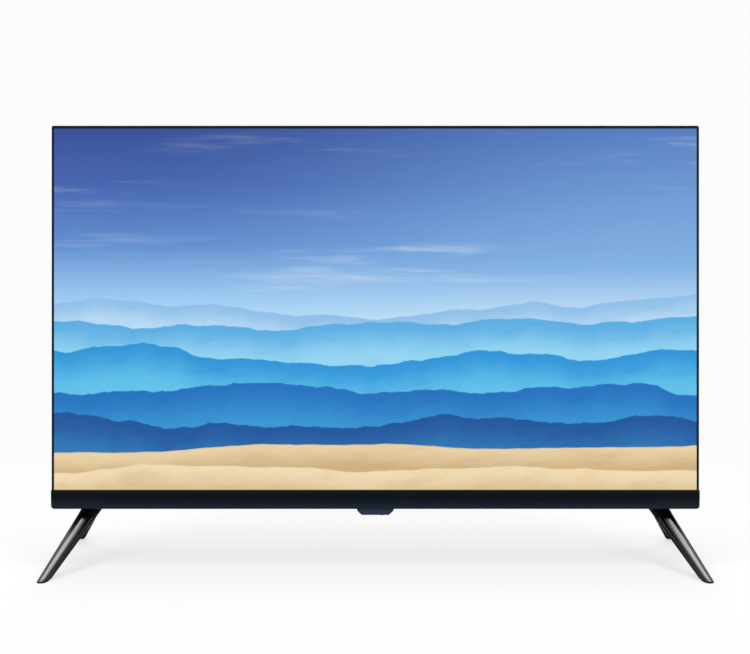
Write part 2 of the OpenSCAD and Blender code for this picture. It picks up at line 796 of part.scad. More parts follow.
// Moulded block that holds the sleeves of the three round sockets
module av_block() {
    body_d = 12;
    rise = 7;
    half = 5.5;
    relief = 0.6;
    relief_d = 3;
    color([0.06, 0.06, 0.06]) head() translate([0, av_y, 0]) difference() {
        block([av_front, av_front + body_d], [board_back - av_y, rise],
            [av_z - half, av_z + 2 * av_pitch + half]);
        for (i = [0 : 2]) translate([0, 0, av_z + i * av_pitch]) {
            rod_x(av_socket_r + 0.05, av_front - cut, av_front + sleeve_in);
            rod_x(av_bore_r + relief, av_front, av_front + sleeve_in + relief_d);
        }
    }
}

// Round socket's sleeve, which stands out into the bay and is bored for the plug's pin
module av_sleeve(place) {
    mouth = -bay_x - barrel_out;
    head() translate([0, av_y, av_z + place * av_pitch]) difference() {
        rod_x(av_socket_r, mouth, av_front + sleeve_in);
        rod_x(av_bore_r, mouth - cut, av_front + sleeve_in + cut);
    }
}

module video_sleeve() color([0.85, 0.75, 0.1]) av_sleeve(0);

module left_audio_sleeve() color([0.9, 0.9, 0.88]) av_sleeve(1);

module right_audio_sleeve() color([0.75, 0.1, 0.1]) av_sleeve(2);

// Aerial socket: screw barrel in front of the tuner's screened box
module aerial_socket() {
    box_front = 4 - bay_x;
    box_d = 34;
    rise = 7;
    half = 7.5;
    shoulder = -bay_x - barrel_gap;
    color([0.78, 0.78, 0.79]) head() translate([0, av_y, aerial_z]) {
        block([box_front, box_front + box_d], [board_back - av_y, rise], [-half, half]);
        rod_x(aerial_r - barrel_gap, shoulder, box_front);
        rod_x(aerial_r, -bay_x - barrel_out, shoulder);
    }
}

module transformer() {
    half_x = 15;
    half_y = 11;
    half_z = 13;
    winding_r = 4.5;
    window_x = 8;
    window_half = 3.5;
    window_z = 8;
    from_x = 8;
    from_z = 16;
    color([0.25, 0.22, 0.2]) head() translate([power_x - from_x, board_back + half_y, power_z + from_z]) {
        difference() {
            block([-half_x, half_x], [-half_y, half_y], [-half_z, half_z]);
            for (x = [-window_x, window_x]) block([x - window_half, x + window_half],
                [-half_y - cut, half_y + cut], [-window_z, window_z]);
        }
        rod_y(winding_r, -half_y, half_y);
    }
}

module capacitors() {
    bulk_r = 9;
    bulk_h = 24;
    bulk_x = 30;
    bulk_z = 44;
    small_r = 5;
    small_h = 20;
    small_x = 46;
    small_z = 46;
    small_pitch = 14;
    lone_x = 28;
    color([0.1, 0.12, 0.3]) head() translate([power_x, board_back, power_z]) {
        translate([bulk_x, 0, -bulk_z]) rod_y(bulk_r, 0, bulk_h);
        for (i = [0 : 2]) translate([-small_x, 0, i * small_pitch - small_z]) rod_y(small_r, 0, small_h);
        translate([-lone_x, 0, -small_z]) rod_y(small_r, 0, small_h);
    }
}

module power_heatsink() {
    half = 22;
    height = 22;
    plate = 2;
    fin_t = 2;
    fin_end = 9;
    fins = 6;
    from_x = 12;
    from_z = 14;
    pitch = (2 * half - fin_t) / (fins - 1);
    color([0.66, 0.67, 0.68]) head() translate([power_x + from_x, board_back, power_z - from_z]) {
        block([-half, half], [0, height], [0, plate]);
        for (i = [0 : fins - 1])
            block([i * pitch - half, i * pitch - half + fin_t], [0, height], [plate, fin_end]);
    }
}

// Two-pin inlet with a figure-of-eight recess
module mains_inlet() {
    flange = 2;
    lobe = inlet_pitch / 2;
    recess = 14;
    waist = inlet_lobe - 0.9;
    half = inlet_size / 2;
    color([0.05, 0.05, 0.05]) head() translate([bay_x, inlet_y, inlet_z]) difference() {
        union() {
            block([-inlet_depth, 0], [-half[1], half[1]], [-half[0], half[0]]);
            block([0, inlet_flange], [fit - half[1], half[1] + flange],
                [-half[0] - flange, half[0] + flange]);
        }
        for (s = [-1, 1]) translate([0, 0, s * lobe]) {
            rod_x(inlet_lobe, inlet_flange - recess, inlet_flange + cut);
            rod_x(pin_r + 0.05, -inlet_depth - cut, 0);
        }
        block([inlet_flange - recess, inlet_flange + cut], [-waist, waist], [-lobe, lobe]);
    }
}

module inlet_pins() {
    tip = 2.5;
    color([0.8, 0.8, 0.78]) head() for (s = [-1, 1])
        translate([bay_x, inlet_y, inlet_z + s * inlet_pitch / 2])
            rod_x(pin_r, -inlet_depth, inlet_flange - tip);
}

// Sensor tab under the bar
module tab_outline() {
    top = tab_top_w / 2;
    waist = tab_waist_w / 2;
    low = tab_bottom_w / 2;
    turn_z = -0.44 * tab_drop;
    polygon([[-top, 0], [-waist, turn_z], [-low, -tab_drop], [low, -tab_drop], [waist, turn_z], [top, 0]]);
}

module sensor_tab() {
    y0 = tab_y;
    y1 = tab_y + tab_d;
    tenon = [tenon_half, y0 + tenon_in, y1 - tenon_in];
    tenon_wall = 1;
    hollow = tab_bottom_w / 2 - tab_wall - 0.6;
    color([0.13, 0.14, 0.2]) head() difference() {
        union() {
            along_y(y0, y1) tab_outline();
            block([-tenon[0], tenon[0]], [tenon[1], tenon[2]], [0, tenon_h]);
        }
        block([-hollow, hollow], [tenon[1] + tenon_wall, tenon[2] - tenon_wall], [key_floor, tenon_h + cut]);
        translate([key_x, (y0 + y1) / 2, -tab_drop - cut])
            cylinder(r = key_r + key_gap, h = tab_wall + 2 * cut);
    }
}

module sensor_board() {
    half = tenon_half + 1;
    color([0.1, 0.35, 0.2]) head()
        block([-half, half], [tab_y + fit, tab_y + tab_d - fit], [tenon_h, tenon_h + 1]);
}

module ir_receiver() {
    low = 1.2;
    color([0.05, 0.05, 0.05]) head() translate([-8, tab_y + tab_d / 2, 0]) {
        block([-3, 3], [-1.6, 2.4], [low, tenon_h]);
        translate([0, -1.6, (low + tenon_h) / 2]) sphere(r = 2);
    }
}

module tact_switch() {
    color([0.2, 0.2, 0.2]) head() translate([key_x, tab_y + tab_d / 2, 0]) {
        block([-3, 3], [-3, 3], [switch_low + 0.9, tenon_h]);
        translate([0, 0, switch_low]) cylinder(r = 1.7, h = 0.9);
    }
}

// Round key with a retaining flange, stopped above by the switch and below by the tab's floor
module power_key() {
    key_top = switch_low - key_travel - 0.05;
    color([0.1, 0.1, 0.12]) head() translate([key_x, tab_y + tab_d / 2, 0]) {
        translate([0, 0, key_low]) rotate_extrude() polygon([[0, 0], [key_r - 0.6, 0], [key_r, 0.6],
            [key_r, key_floor - key_low], [0, key_floor - key_low]]);
        block([-key_flange[0], key_flange[0]], [-key_flange[1], key_flange[1]],
            [key_floor, key_floor + key_flange_t]);
        translate([0, 0, key_floor + key_flange_t]) cylinder(r = 1.6, h = key_top - key_floor - key_flange_t);
    }
}

// Loudspeakers firing down through the slots in the cover's underside
module speaker_box() {
    x = [speaker_x - speaker_w / 2, speaker_x + speaker_w / 2];
    y = [tray_back, tray_back + speaker_d];
    z = [speaker_low, speaker_low + speaker_h];
    w = speaker_wall;
    difference() {
        block(x, y, z);
        block([x[0] + w, x[1] - w], [y[0] + w, y[1] - w], [z[0] + w, z[1] - w]);
        translate([speaker_x, driver_y, z[0] - cut])
            cylinder(r = driver_r - driver_flange + fit, h = w + 2 * cut);
    }
}

module right_speaker_box() color([0.07, 0.07, 0.07]) head() speaker_box();

module left_speaker_box() color([0.07, 0.07, 0.07]) head() mirror([1, 0, 0]) speaker_box();

module speaker_drivers() {
    throat = driver_r - driver_flange;
    basket = 1;
    neck_r = 8;
    magnet_r = 9;
    magnet_low = 11;
    magnet_top = 19;
    pole_low = magnet_low - 0.8 * basket;
    color([0.4, 0.4, 0.42]) head() both_sides() translate([speaker_x, driver_y, speaker_low - driver_t])
        rotate_extrude() polygon([[throat - basket, 0], [driver_r, 0], [driver_r, driver_t],
            [throat, driver_t], [neck_r, magnet_low], [magnet_r, magnet_low], [magnet_r, magnet_top],
            [0, magnet_top], [0, pole_low], [neck_r - basket, pole_low], [throat - basket, driver_t]]);
}

module speaker_cones() {
    rim = driver_r - driver_flange - 1.4;
    paper = 0.8;
    low = 0.6;
    coil_r = 5;
    coil_low = 8.2;
    coil_top = 9.4;
    cap_low = 6;
    color([0.12, 0.12, 0.12]) head() both_sides() translate([speaker_x, driver_y, speaker_low - driver_t])
        rotate_extrude() polygon([[rim - paper, low], [rim, low], [rim, 2 * low], [coil_r, coil_low],
            [coil_r, coil_top], [0, coil_top], [0, cap_low], [coil_r - 1.25 * paper, cap_low + low]]);
}

// Threaded steel posts of the wall-mount pattern
module wall_mount_posts() {
    color([0.74, 0.74, 0.75]) head() for (sx = [-1, 1], sz = [-1, 1])
        translate([sx * vesa_w / 2, 0, vesa_z + sz * vesa_h / 2]) difference() {
            rod_y(post_r, tray_back, bulge_d);
            rod_y(vesa_r, bulge_d - 20, bulge_d + cut);
        }
}

// Legs
module leg_bracket() {
    x = [leg_x - plate_inner, leg_x + plate_outer];
    rise = 60;
    difference() {
        union() {
            block(x, [tray_back, leg_y + plate_d / 2], [cover_wall, cover_wall + bracket_t]);
            block(x, [tray_back, tray_back + bracket_t], [cover_wall, rise]);
        }
        for (dy = [-1, 1]) translate([leg_screw_x, leg_y + dy * leg_screw_dy, 0])
            cylinder(r = leg_screw_r + 0.05, h = cover_wall + bracket_t + cut);
    }
}

module right_leg_bracket() color([0.72, 0.72, 0.73]) head() leg_bracket();

module left_leg_bracket() color([0.72, 0.72, 0.73]) head() mirror([1, 0, 0]) leg_bracket();

// Stretch of a tapered round arm, measured from the root along its axis
module arm(root, foot, root_r, from, to) {
    taper = (foot_r - root_r) / norm(foot - root);
    aim(root, foot) rotate([0, 0, seam_turn]) translate([0, 0, from])
        cylinder(r1 = root_r + taper * from, r2 = root_r + taper * to, h = to - from);
}

// Rest of an arm down to its foot, which ends in a blunt nose
module arm_to_foot(root, foot, root_r, from) {
    taper = (foot_r - root_r) / norm(foot - root);
    reach = norm(foot - root) + nose_from;
    nose_r = root_r + taper * reach;
    aim(root, foot) rotate([0, 0, seam_turn]) rotate_extrude()
        polygon([[0, from], [root_r + taper * from, from], [nose_r, reach],
            [nose_r - nose_in, reach + nose_len], [0, reach + nose_len]]);
}

// Trims an arm below by the foot pad and above by the set's underside
module above_floor() {
    intersection() {
        children();
        block([0, 2 * panel_half], [-2 * front_reach, 2 * rear_reach], [pad_t - leg_h, -fit]);
    }
}

// Moulded root: fixing plate, collar for the plated tube, and the rear arm
module leg_body() {
    plate_r = 5;
    spigot_end = 0.5;
    difference() {
        union() {
            translate([leg_x, leg_y, -plate_t]) linear_extrude(plate_t)
                translate([(plate_outer - plate_inner) / 2, 0])
                    round_rect((plate_inner + plate_outer) / 2, -plate_d / 2, plate_d / 2, plate_r);
            above_floor() {
                union() {
                    arm(front_root, front_foot, tube_r, -arm_over, collar_len);
                    arm_to_foot(rear_root, rear_foot, arm_r, -arm_over);
                }
            }
        }
        aim(front_root, front_foot) translate([0, 0, collar_len - spigot_len - spigot_end])
            cylinder(r = spigot_r + spigot_gap, h = spigot_len + 2);
        for (dy = [-1, 1]) translate([leg_screw_x, leg_y + dy * leg_screw_dy, -plate_t - cut])
            cylinder(r = leg_screw_r + fit, h = plate_t + 2 * cut);
    }
}

module right_leg_body() color([0.05, 0.05, 0.05]) head() leg_body();

module left_leg_body() color([0.05, 0.05, 0.05]) head() mirror([1, 0, 0]) leg_body();

// Plated front arm with a spigot that plugs into the collar
module leg_tube() {
    above_floor() arm_to_foot(front_root, front_foot, tube_r, collar_len);
    aim(front_root, front_foot) translate([0, 0, collar_len - spigot_len])
        cylinder(r = spigot_r, h = spigot_len + 2);
}

module right_leg_tube() color([0.35, 0.35, 0.37]) head() leg_tube();

module left_leg_tube() color([0.35, 0.35, 0.37]) head() mirror([1, 0, 0]) leg_tube();

module leg_screws() {
    head_h = 2.2;
    color([0.12, 0.12, 0.12]) head() both_sides() for (dy = [-1, 1])
        translate([leg_screw_x, leg_y + dy * leg_screw_dy, -plate_t]) difference() {
            union() {
                cylinder(r = leg_screw_r, h = plate_t + cover_wall + bracket_t);
                translate([0, 0, -head_h]) cylinder(r = leg_screw_head_r, h = head_h);
            }
            for (turn = [0, 90]) rotate([0, 0, turn])
                block([-2.2, 2.2], [-0.5, 0.5], [-head_h - cut, -head_h / 2]);
        }
}

module foot_pad(root, foot) {
    pad_in = 0.5;
    pad_r = foot_r - pad_in;
    pad_len = 4 * foot_r;
    aim(root, foot) translate([0, 0, norm(foot - root) + nose_from]) rotate([0, 0, seam_turn])
        rotate_extrude() polygon([[0, -pad_len], [pad_r, -pad_len], [pad_r, 0],
            [pad_r - nose_in, nose_len], [0, nose_len]]);
}

module foot_pads() {
    color([0.03, 0.03, 0.03]) head() both_sides() intersection() {
        union() {
            foot_pad(front_root, front_foot);
            foot_pad(rear_root, rear_foot);
        }
        block([0, 2 * panel_half], [-2 * front_reach, 2 * rear_reach], [-leg_h, pad_t - leg_h]);
    }
}

// Leads inside the cover
module ribbon_cable() {
    t = 0.3;
    face = tray_back + source_t + t / 2;
    rear = board_back + t / 2;
    path = [[face, source_low + 9], [face, source_low + source_h + 3], [rear, board_low - 6],
        [rear, board_low + 10]];
    color([0.85, 0.85, 0.82]) head() translate([-(board_edge - board_w + 30), 0, 0]) along_x(20)
        polygon(strip_outline(path, t));
}

module speaker_leads() {
    top = speaker_low + speaker_h;
    z = board_low - 9;
    near = -(board_edge - board_w / 2 - 10);
    end_z = board_low + 8;
    far = near - 6;
    color([0.15, 0.15, 0.15]) head() {
        lead([[-speaker_x, lead_y, top], [-speaker_x, lead_y, z], [far, lead_y, z],
            [far, lead_y, end_z]], lead_r);
        lead([[speaker_x, lead_y, top], [speaker_x, lead_y, z - 6], [near, lead_y, z - 6],
            [near, lead_y, end_z]], lead_r);
    }
}

module key_lead() {
    z = tenon_h + 1 + lead_r;
    y = tab_y + tab_d - 3;
    x = -(board_edge - board_w + 12);
    run = board_low - 20;
    far = lead_y + 3 * lead_r;
    path = [[0, y, z], [0, far, z], [0, far, run], [x, far, run], [x, far, board_low + 6],
        [x, board_back, board_low + 6]];
    color([0.8, 0.8, 0.8]) head() lead(path, lead_r);
}

module backlight_lead() {
    x = power_x;
    z = board_low + board_h;
    color([0.7, 0.15, 0.12]) head()
        lead([[x, lead_y, z - 8], [x, lead_y, z + 24], [x, tray_back, z + 24]], lead_r);
}

front_frame();
bottom_bar();
rear_cover();
cover_screws();
lcd_cell();
mid_frame();
prism_film();
diffuser_film();
diffuser_plate();
diffuser_supports();
reflector_sheet();
led_strips();
led_lenses();
back_tray();
source_board();
panel_flex();
board_spacers();
main_board();
processor();
main_heatsink();
hdmi_sockets();
usb_socket();
headphone_socket();
av_block();
video_sleeve();
left_audio_sleeve();
right_audio_sleeve();
aerial_socket();
power_board();
transformer();
capacitors();
power_heatsink();
mains_inlet();
inlet_pins();
sensor_tab();
sensor_board();
ir_receiver();
tact_switch();
power_key();
left_speaker_box();
right_speaker_box();
speaker_drivers();
speaker_cones();
wall_mount_posts();
left_leg_bracket();
right_leg_bracket();
left_leg_body();
right_leg_body();
left_leg_tube();
right_leg_tube();
leg_screws();
foot_pads();
ribbon_cable();
speaker_leads();
key_lead();
backlight_lead();
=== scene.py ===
"""Looks of a flat screen television that stands on two splayed legs."""

import logging
import math
from collections.abc import Iterable, Mapping, Sequence
from dataclasses import dataclass
from enum import Enum
from typing import ClassVar, Protocol

import bmesh
import bpy
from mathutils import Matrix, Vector


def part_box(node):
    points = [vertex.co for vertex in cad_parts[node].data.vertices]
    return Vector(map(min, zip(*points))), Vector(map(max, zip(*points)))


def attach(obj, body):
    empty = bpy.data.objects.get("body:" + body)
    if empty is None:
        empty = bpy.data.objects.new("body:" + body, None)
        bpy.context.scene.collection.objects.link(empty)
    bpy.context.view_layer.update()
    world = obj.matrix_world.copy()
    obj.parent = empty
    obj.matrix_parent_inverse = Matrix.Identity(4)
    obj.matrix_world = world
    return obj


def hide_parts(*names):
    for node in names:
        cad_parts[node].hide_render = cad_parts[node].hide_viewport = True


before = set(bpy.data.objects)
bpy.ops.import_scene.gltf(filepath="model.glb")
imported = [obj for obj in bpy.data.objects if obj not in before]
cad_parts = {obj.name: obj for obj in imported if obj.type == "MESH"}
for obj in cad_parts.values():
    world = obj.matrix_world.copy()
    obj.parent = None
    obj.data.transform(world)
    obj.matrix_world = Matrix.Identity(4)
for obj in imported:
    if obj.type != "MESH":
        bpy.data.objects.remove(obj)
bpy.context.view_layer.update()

LOG = logging.getLogger("television")
IMAGE_WIDTH = 750
IMAGE_HEIGHT = 654
SET_BODY = "set"

Colour = tuple[float, float, float, float]
Point = tuple[float, float, float]
Socket = bpy.types.NodeSocket

WHITE: Colour = (1.0, 1.0, 1.0, 1.0)
BLACK: Colour = (0.0, 0.0, 0.0, 1.0)
SENSOR_WIDTH = 36.0
# Stretch of the fine marks that wiping leaves on gloss faces
WIPING: Point = (14.0, 300.0, 900.0)
# Faint waves for each metre of a gloss face, and clouds for each metre of plating
MOULD_WAVES = 95.0
PLATE_CLOUDS = 60.0
# Height of the marks in plating, in metres
PLATE_DEPTH = 0.000004


def shown(red: float, green: float, blue: float) -> Colour:
    """Turns a display colour into the linear colour that a shader takes.

    Args:
        red: Red, from 0 to 255.
        green: Green, from 0 to 255.
        blue: Blue, from 0 to 255.

    Returns:
        The linear colour with an alpha of 1.
    """
    parts = []
    for level in (red / 255, green / 255, blue / 255):
        parts.append(level / 12.92 if level <= 0.04045 else ((level + 0.055) / 1.055) ** 2.4)
    return (parts[0], parts[1], parts[2], 1.0)


def toned(
    colour: Colour, factor: float, lift: float = 0.0, ceiling: float = math.inf
) -> Colour:
    """Returns a colour whose parts are multiplied, then raised.

    Args:
        colour: The colour to start from.
        factor: What each part is multiplied by.
        lift: What is added to each part.
        ceiling: Level that no part passes.

    Returns:
        The new colour with an alpha of 1.
    """
    red, green, blue = (min(ceiling, part * factor + lift) for part in colour[:3])
    return (red, green, blue, 1.0)


class Value:
    """A number that varies over a surface, written as arithmetic on a shader socket."""

    def __init__(self, graph: "Graph", socket: Socket) -> None:
        """Keeps the socket and the graph that it belongs to."""
        self.graph = graph
        self.socket = socket

    def __add__(self, other: "Value | float") -> "Value":
        """Returns self + other."""
        return self.graph.math("ADD", self, other)

    __radd__ = __add__

    def __sub__(self, other: "Value | float") -> "Value":
        """Returns self - other."""
        return self.graph.math("SUBTRACT", self, other)

    def __rsub__(self, other: float) -> "Value":
        """Returns other - self."""
        return self.graph.math("SUBTRACT", other, self)

    def __mul__(self, other: "Value | float") -> "Value":
        """Returns self * other."""
        return self.graph.math("MULTIPLY", self, other)

    __rmul__ = __mul__

    def __truediv__(self, other: "Value | float") -> "Value":
        """Returns self / other."""
        return self.graph.math("DIVIDE", self, other)

    def __pow__(self, other: float) -> "Value":
        """Returns self to the power of other."""
        return self.graph.math("POWER", self, other)

    def sine(self) -> "Value":
        """Returns the sine of self."""
        return self.graph.math("SINE", self, 0.0)

    def larger(self, other: "Value | float") -> "Value":
        """Returns the larger of the two values."""
        return self.graph.math("MAXIMUM", self, other)

    def swing(self, width: float) -> "Value":
        """Turns noise, which lies about 0.5, into a swing about 0 of that width."""
        return (self - 0.5) * width

    def step(self, low: float, high: float) -> "Value":
        """Rises smoothly from 0 at low to 1 at high.

        Args:
            low: Value where the step starts.
            high: Value where the step ends.

        Returns:
            The step, from 0 to 1.
        """
        made = self.graph.node(
            "ShaderNodeMapRange",
            {"interpolation_type": "SMOOTHSTEP"},
            {"Value": self, "From Min": low, "From Max": high},
        )
        return Value(self.graph, made.outputs["Result"])


class Graph:
    """The nodes of one material or of the world."""

    def __init__(self, owner: bpy.types.Material | bpy.types.World) -> None:
        """Empties the nodes of that material or world."""
        owner.use_nodes = True
        self.owner = owner
        self.tree = owner.node_tree
        self.tree.nodes.clear()

    @classmethod
    def of_material(cls, name: str) -> "Graph":
        """Starts a new material of that name."""
        return cls(bpy.data.materials.new(name))

    def node(
        self,
        kind: str,
        settings: Mapping[str, object] | None = None,
        sockets: Mapping[str | int, object] | None = None,
    ) -> bpy.types.Node:
        """Adds any node.

        Args:
            kind: The node's type.
            settings: Its settings, which are set first; "stops" are a ramp's colours.
            sockets: Values or links of its input sockets, by name or number.

        Returns:
            The new node.
        """
        made = self.tree.nodes.new(kind)
        for key, setting in (settings or {}).items():
            if key == "stops":
                self._set_stops(made.color_ramp, setting)
            else:
                setattr(made, key, setting)
        for key, value in (sockets or {}).items():
            if isinstance(value, Value):
                value = value.socket
            if isinstance(value, Socket):
                self.tree.links.new(value, made.inputs[key])
            else:
                made.inputs[key].default_value = value
        return made

    @staticmethod
    def _set_stops(ramp: bpy.types.ColorRamp, stops: Sequence[tuple[float, Colour]]) -> None:
        """Replaces a ramp's stops by these places and colours."""
        while len(ramp.elements) > 1:
            ramp.elements.remove(ramp.elements[-1])
        ramp.elements[0].position, ramp.elements[0].color = stops[0]
        for position, colour in stops[1:]:
            ramp.elements.new(position).color = colour

    def math(self, operation: str, first: Value | float, second: Value | float) -> Value:
        """Joins two values in a Math node of that operation."""
        made = self.node("ShaderNodeMath", {"operation": operation}, {0: first, 1: second})
        return Value(self, made.outputs[0])

    def place(self) -> Socket:
        """Returns the place on the object, in metres in the model's frame."""
        return self.node("ShaderNodeTexCoord").outputs["Object"]

    def split(self, vector: Socket) -> tuple[Value, Value, Value]:
        """Returns the three parts of a vector."""
        made = self.node("ShaderNodeSeparateXYZ", None, {0: vector})
        x, y, z = (Value(self, output) for output in made.outputs)
        return x, y, z

    def axes(self) -> tuple[Value, Value, Value]:
        """Returns the place on the object as three values."""
        return self.split(self.place())

    def point(self, x: Value | float, y: Value | float, z: Value | float) -> Socket:
        """Joins three values into a place."""
        return self.node("ShaderNodeCombineXYZ", None, {0: x, 1: y, 2: z}).outputs[0]

    def stretched(self, scale: Point) -> Socket:
        """Returns the place on the object, multiplied along each axis."""
        made = self.node(
            "ShaderNodeVectorMath", {"operation": "MULTIPLY"}, {0: self.place(), 1: scale}
        )
        return made.outputs[0]

    def noise(
        self, where: Socket, scale: float, detail: float = 2.0, rough: float = 0.5
    ) -> Value:
        """Returns cloudy noise from about 0.2 to 0.8.

        Args:
            where: Place that the noise is read at.
            scale: Waves for each unit of that place.
            detail: Octaves of finer noise.
            rough: Weight of the finer octaves.

        Returns:
            The noise.
        """
        made = self.node(
            "ShaderNodeTexNoise",
            {"noise_dimensions": "3D"},
            {"Vector": where, "Scale": scale, "Detail": detail, "Roughness": rough},
        )
        return Value(self, made.outputs["Fac"])

    def cells(self, where: Socket, scale: float) -> Value:
        """Returns a random level for each cell of a broken surface."""
        made = self.node(
            "ShaderNodeTexVoronoi", {"feature": "F1"}, {"Vector": where, "Scale": scale}
        )
        grey = self.node("ShaderNodeRGBToBW", None, {0: made.outputs["Color"]})
        return Value(self, grey.outputs[0])

    def ramp(self, value: Value, stops: Sequence[tuple[float, Colour]]) -> Socket:
        """Returns the colour of a value between the stops."""
        made = self.node("ShaderNodeValToRGB", {"stops": stops}, {0: value})
        return made.outputs["Color"]

    def mix(
        self, factor: Value | float, first: Socket | Colour, second: Socket | Colour
    ) -> Socket:
        """Blends two colours.

        Args:
            factor: Share of the second colour.
            first: Colour at a share of 0.
            second: Colour at a share of 1.

        Returns:
            The blended colour.
        """
        made = self.node(
            "ShaderNodeMix",
            {"data_type": "RGBA", "clamp_factor": True},
            {0: factor, 6: first, 7: second},
        )
        return made.outputs[2]

    def bump(self, height: Value, depth: float) -> Socket:
        """Returns the normal of a surface raised by height times a depth in metres."""
        made = self.node(
            "ShaderNodeBump", None, {"Strength": 1.0, "Distance": depth, "Height": height}
        )
        return made.outputs["Normal"]

    def shader(self, sockets: Mapping[str, object]) -> bpy.types.Material:
        """Ends the graph in one Principled shader.

        Args:
            sockets: Values and links of the shader's sockets.

        Returns:
            The finished material.
        """
        made = self.node("ShaderNodeBsdfPrincipled", None, sockets)
        self.node("ShaderNodeOutputMaterial", None, {"Surface": made.outputs["BSDF"]})
        return self.owner


class Finish(Protocol):
    """Anything that makes a material."""

    def material(self) -> bpy.types.Material:
        """Returns the finish as a material."""


@dataclass(frozen=True)
class Moulded:
    """Moulded plastic: a fine eroded grain over a slightly uneven colour."""

    name: str
    colour: Colour
    roughness: float = 0.5
    specular: float = 0.3
    grain: float = 0.0006
    depth: float = 0.00004
    unevenness: float = 0.25
    clouds: float = 38.0
    flow: Point = (6.0, 30.0, 45.0)

    def material(self) -> bpy.types.Material:
        """Returns the plastic's material."""
        graph = Graph.of_material(self.name)
        place = graph.place()
        cloud = graph.noise(place, self.clouds, 4.0, 0.6)
        grain = graph.noise(place, 1 / self.grain, 3.0, 0.6)
        flow = graph.noise(graph.stretched(self.flow), 1.0, 3.0)
        lighter = toned(self.colour, 1 + self.unevenness, lift=0.002, ceiling=1.0)
        darker = toned(self.colour, 1 - self.unevenness)
        colour = graph.mix((cloud * 0.6 + flow * 0.4).step(0.3, 0.7), darker, lighter)
        return graph.shader(
            {
                "Base Color": colour,
                "Roughness": self.roughness + cloud.swing(0.12) + grain.swing(0.1),
                "Specular IOR Level": self.specular,
                "Normal": graph.bump(grain, self.depth),
            }
        )


@dataclass(frozen=True)
class Polished:
    """Polished plastic: a gloss face with faint waves and fine wiping marks."""

    name: str
    colour: Colour
    roughness: float = 0.12
    specular: float = 0.15
    wave: float = 0.000012
    clouds: float = 24.0

    def material(self) -> bpy.types.Material:
        """Returns the plastic's material."""
        graph = Graph.of_material(self.name)
        place = graph.place()
        haze = graph.noise(place, self.clouds, 5.0, 0.65)
        marks = graph.noise(graph.stretched(WIPING), 1.0, 2.0)
        waves = graph.noise(place, MOULD_WAVES, 1.0)
        lighter = toned(self.colour, 1.5, lift=0.0012)
        worn = haze.step(0.35, 0.75) * 0.6 + marks.step(0.6, 0.8) * 0.25
        return graph.shader(
            {
                "Base Color": graph.mix(worn, self.colour, lighter),
                "Roughness": self.roughness + haze.swing(0.1) + marks.step(0.62, 0.8) * 0.06,
                "Specular IOR Level": self.specular,
                "Normal": graph.bump(waves + marks * 0.15, self.wave),
            }
        )


class Surface(Enum):
    """How a metal was worked."""

    PLATED = "plated"
    BRUSHED = "brushed"
    SPANGLED = "spangled"
    OXIDE = "oxide"


@dataclass(frozen=True)
class Metal:
    """Bare, plated or blackened metal, with the marks of its working."""

    name: str
    colour: Colour
    roughness: float
    surface: Surface
    along: Point = (1.0, 1.0, 1.0)
    spangles: float = 120.0
    specks: float = 1400.0
    depths: ClassVar[Mapping[Surface, float]] = {
        Surface.PLATED: PLATE_DEPTH,
        Surface.BRUSHED: 0.00002,
        Surface.SPANGLED: 0.000006,
        Surface.OXIDE: 0.00002,
    }

    def _marks(self, graph: Graph) -> Value:
        """Returns the marks that the working leaves."""
        if self.surface is Surface.SPANGLED:
            return graph.cells(graph.place(), self.spangles)
        if self.surface is Surface.OXIDE:
            return graph.noise(graph.place(), self.specks, 3.0, 0.6)
        if self.surface is Surface.BRUSHED:
            return graph.noise(graph.stretched(self.along), 1.0, 3.0, 0.7)
        return graph.noise(graph.stretched(self.along), 1.0, 4.0, 0.6)

    def material(self) -> bpy.types.Material:
        """Returns the metal's material."""
        graph = Graph.of_material(self.name)
        haze = graph.noise(graph.place(), PLATE_CLOUDS, 4.0, 0.6)
        marks = self._marks(graph)
        darker = toned(self.colour, 0.78)
        colour = graph.mix((marks * 0.6 + haze * 0.4).step(0.25, 0.75), darker, self.colour)
        return graph.shader(
            {
                "Base Color": colour,
                "Metallic": 1.0,
                "Roughness": self.roughness + haze.swing(0.12) + marks.swing(0.1),
                "Normal": graph.bump(marks, self.depths[self.surface]),
            }
        )


@dataclass(frozen=True)
class BlackNickel:
    """Dark plating of the front arms, drawn along the arm, with painted shade on the side turned
    inwards and an outward side lightened in part as painted highlight.
    """

    name: str
    # Outer colour: the plating of the outward side, raised in part as painted highlight; inner
    # colour: painted shade on the side turned inwards
    outer_plate_and_painted_highlight: Colour = shown(104, 102, 102)
    inner: Colour = shown(58, 58, 60)
    edge: Colour = shown(164, 164, 166)
    drawn: Colour = shown(40, 40, 42)
    roughness: float = 0.16
    along: Point = (500.0, 40.0, 60.0)

    def material(self) -> bpy.types.Material:
        """Returns the plating's material."""
        graph = Graph.of_material(self.name)
        x, _, _ = graph.axes()
        sideways, _, _ = graph.split(graph.node("ShaderNodeNewGeometry").outputs["Normal"])
        # Painted shade mask: 1 where the face turns outwards, -1 where it turns inwards towards the
        # set
        painted_shade_mask = sideways * graph.math("SIGN", x, 0.0)
        marks = graph.noise(graph.stretched(self.along), 1.0, 4.0, 0.6)
        haze = graph.noise(graph.place(), PLATE_CLOUDS, 4.0, 0.6)
        # Painted light and shade: the inner colour darkens the side turned inwards, the outer
        # colour lightens the outward side
        plate_with_painted_shade = graph.mix((painted_shade_mask + haze.swing(0.2)).step(-0.8, 0.05), self.inner, self.outer_plate_and_painted_highlight)
        worn = (marks * 0.6 + haze * 0.4).step(0.3, 0.8) * 0.22
        return graph.shader(
            {
                "Base Color": graph.mix(worn, plate_with_painted_shade, self.drawn),
                "Metallic": 1.0,
                "Specular Tint": self.edge,
                "Roughness": self.roughness + haze.swing(0.1) + marks.swing(0.08),
                "Normal": graph.bump(marks, PLATE_DEPTH),
            }
        )


